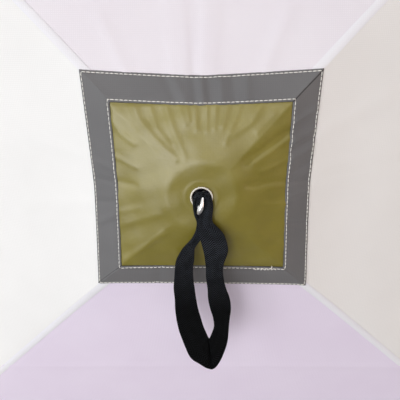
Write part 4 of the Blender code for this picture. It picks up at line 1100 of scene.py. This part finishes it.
# Resin-rich rod with its rovings just visible: long pale streaks a millimetre apart, satin to the eye.
place = add(tree, "TexCoord", {}).outputs["Object"]
rovings = add(tree, "TexNoise", {"Vector": place, "Scale": 420.0, "Detail": 3.0}).outputs[0]
pole_rod = finish_material(made, tree, (rovings, 0.1, 0.5), Base_Color=between(tree, rovings, "#b9b196", "#d2ccb4"),
                           Roughness=scaled(tree, rovings, 0.3, 0.7, 0.32, 0.44), IOR=1.52)
made, tree = blank_material("nylon_glass_filled_moulded")
# Moulded nylon with a fine spark-eroded grain, a little paler where hands and cloth rub it.
place = add(tree, "TexCoord", {}).outputs["Object"]
grain = add(tree, "TexVoronoi", {"Vector": place, "Scale": 1500.0}).outputs[0]
rubbed = add(tree, "TexNoise", {"Vector": place, "Scale": 45.0, "Detail": 3.0}).outputs[0]
nylon = finish_material(made, tree, (grain, 0.12, 0.5), Base_Color=between(tree, rubbed, "#1b1b1c", "#2b2b2c"),
                        Roughness=scaled(tree, rubbed, 0.3, 0.7, 0.40, 0.55), IOR=1.53)
rigid = {"glass_fibre": pole_rod, "black_nylon": nylon, "bright_steel": steel, "steel": steel}
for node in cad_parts.values():
    for slot in node.material_slots:
        if slot.material and slot.material.name in rigid:
            slot.material = rigid[slot.material.name]

# ---------------------------------------------------------------------------
# Floor, backdrop and light: plain and pale, with a broad soft lamp at the
# left, as where the photograph was taken, and weaker light all round.
# ---------------------------------------------------------------------------
made, tree = blank_material("studio_floor")
place = add(tree, "TexCoord", {}).outputs["Object"]
tone = add(tree, "TexNoise", {"Vector": place, "Scale": 0.7, "Detail": 2.0}).outputs[0]
# Seen by the camera, the floor runs out into the white backdrop; the light that it gives stays plain.
far = scaled(tree, add(tree, "VectorMath", {0: place}, operation="LENGTH").outputs["Value"], 2.6, 9.0)
seen = add(tree, "LightPath", {}).outputs["Is Camera Ray"]
runs_out = add(tree, "Math", {0: far, 1: seen}, operation="MULTIPLY").outputs[0]
near_colour = between(tree, seen, "#8c8c8b", "#e4e4e3")
fades = {"Factor": runs_out, 6: near_colour, 7: linear("#000000")}
finish_material(made, tree, Base_Color=add(tree, "Mix", fades, data_type="RGBA").outputs[2], Roughness=0.9,
                Emission_Color=between(tree, tone, "#f4f4f4", "#f6f6f6"), Emission_Strength=runs_out)
bpy.ops.mesh.primitive_plane_add(size=40, location=(0, 0, -0.0005))
floor = bpy.context.object
floor.name = "floor"
floor.data.materials.append(made)

world = bpy.data.worlds.new("studio")
world.use_nodes = True
bpy.context.scene.world = world
tree = world.node_tree
tree.nodes.clear()
rays = add(tree, "LightPath", {})
seen = rays.outputs["Is Camera Ray"]
for kind in ("Is Glossy Ray", "Is Transmission Ray"):
    seen = add(tree, "Math", {0: seen, 1: rays.outputs[kind]}, operation="MAXIMUM").outputs[0]
strength = scaled(tree, seen, 0.0, 1.0, 0.12, 0.92)
backdrop = add(tree, "Background", {"Color": linear("#ffffff"), "Strength": strength})
add(tree, "OutputWorld", {"Surface": backdrop.outputs[0]})


def add_lamp(name, aim, towards, distance, size, level, colour="#ffffff"):
    """A square soft lamp that lights a surface facing it at its aim to a level, where 1 is full white."""
    data = bpy.data.lights.new(name, "AREA")
    data.size = size
    data.energy = level * pi * pi * distance ** 2
    data.color = linear(colour)[:3]
    lamp = bpy.data.objects.new(name, data)
    direction = Vector(towards).normalized()
    lamp.location = Vector(aim) + direction * distance
    lamp.rotation_euler = direction.to_track_quat("Z", "Y").to_euler()
    bpy.context.collection.objects.link(lamp)


add_lamp("window", (0, -1.1, 1.0), (-0.54, -0.80, -0.22), 2.8, 2.0, 0.645)
add_lamp("front", (0, -1.1, 0.9), (-0.20, -0.93, 0.30), 4.0, 2.0, 0.31)
add_lamp("left", (0, -1.1, 0.9), (-0.88, -0.42, 0.15), 4.5, 3.0, 0.17)
add_lamp("top", (0, -0.4, 1.5), (0.0, -0.15, 1.0), 4.0, 3.0, 0.21)
add_lamp("high", (0, -1.1, 0.9), (0.35, -0.7, 0.62), 4.0, 2.5, 0.10, "#ffe7da")
add_lamp("right", (0.6, -0.6, 0.9), (0.96, -0.28, 0.1), 4.5, 3.0, 0.24, "#ffc8a4")
add_lamp("right wall", (1.0, 0, 0.9), (0.97, 0.25, 0.15), 4.5, 3.0, 0.45)
add_lamp("left wall", (-1.0, 0, 0.9), (-0.97, 0.25, 0.15), 4.5, 3.0, 0.40)
add_lamp("behind", (0, 0.9, 0.9), (0.3, 1.0, 0.3), 4.5, 3.0, 0.50)
add_lamp("roof", (0, 0, 1.9), (0.0, 0.30, 1.0), 4.0, 3.0, 0.50)

bpy.context.scene.view_settings.view_transform = "Standard"
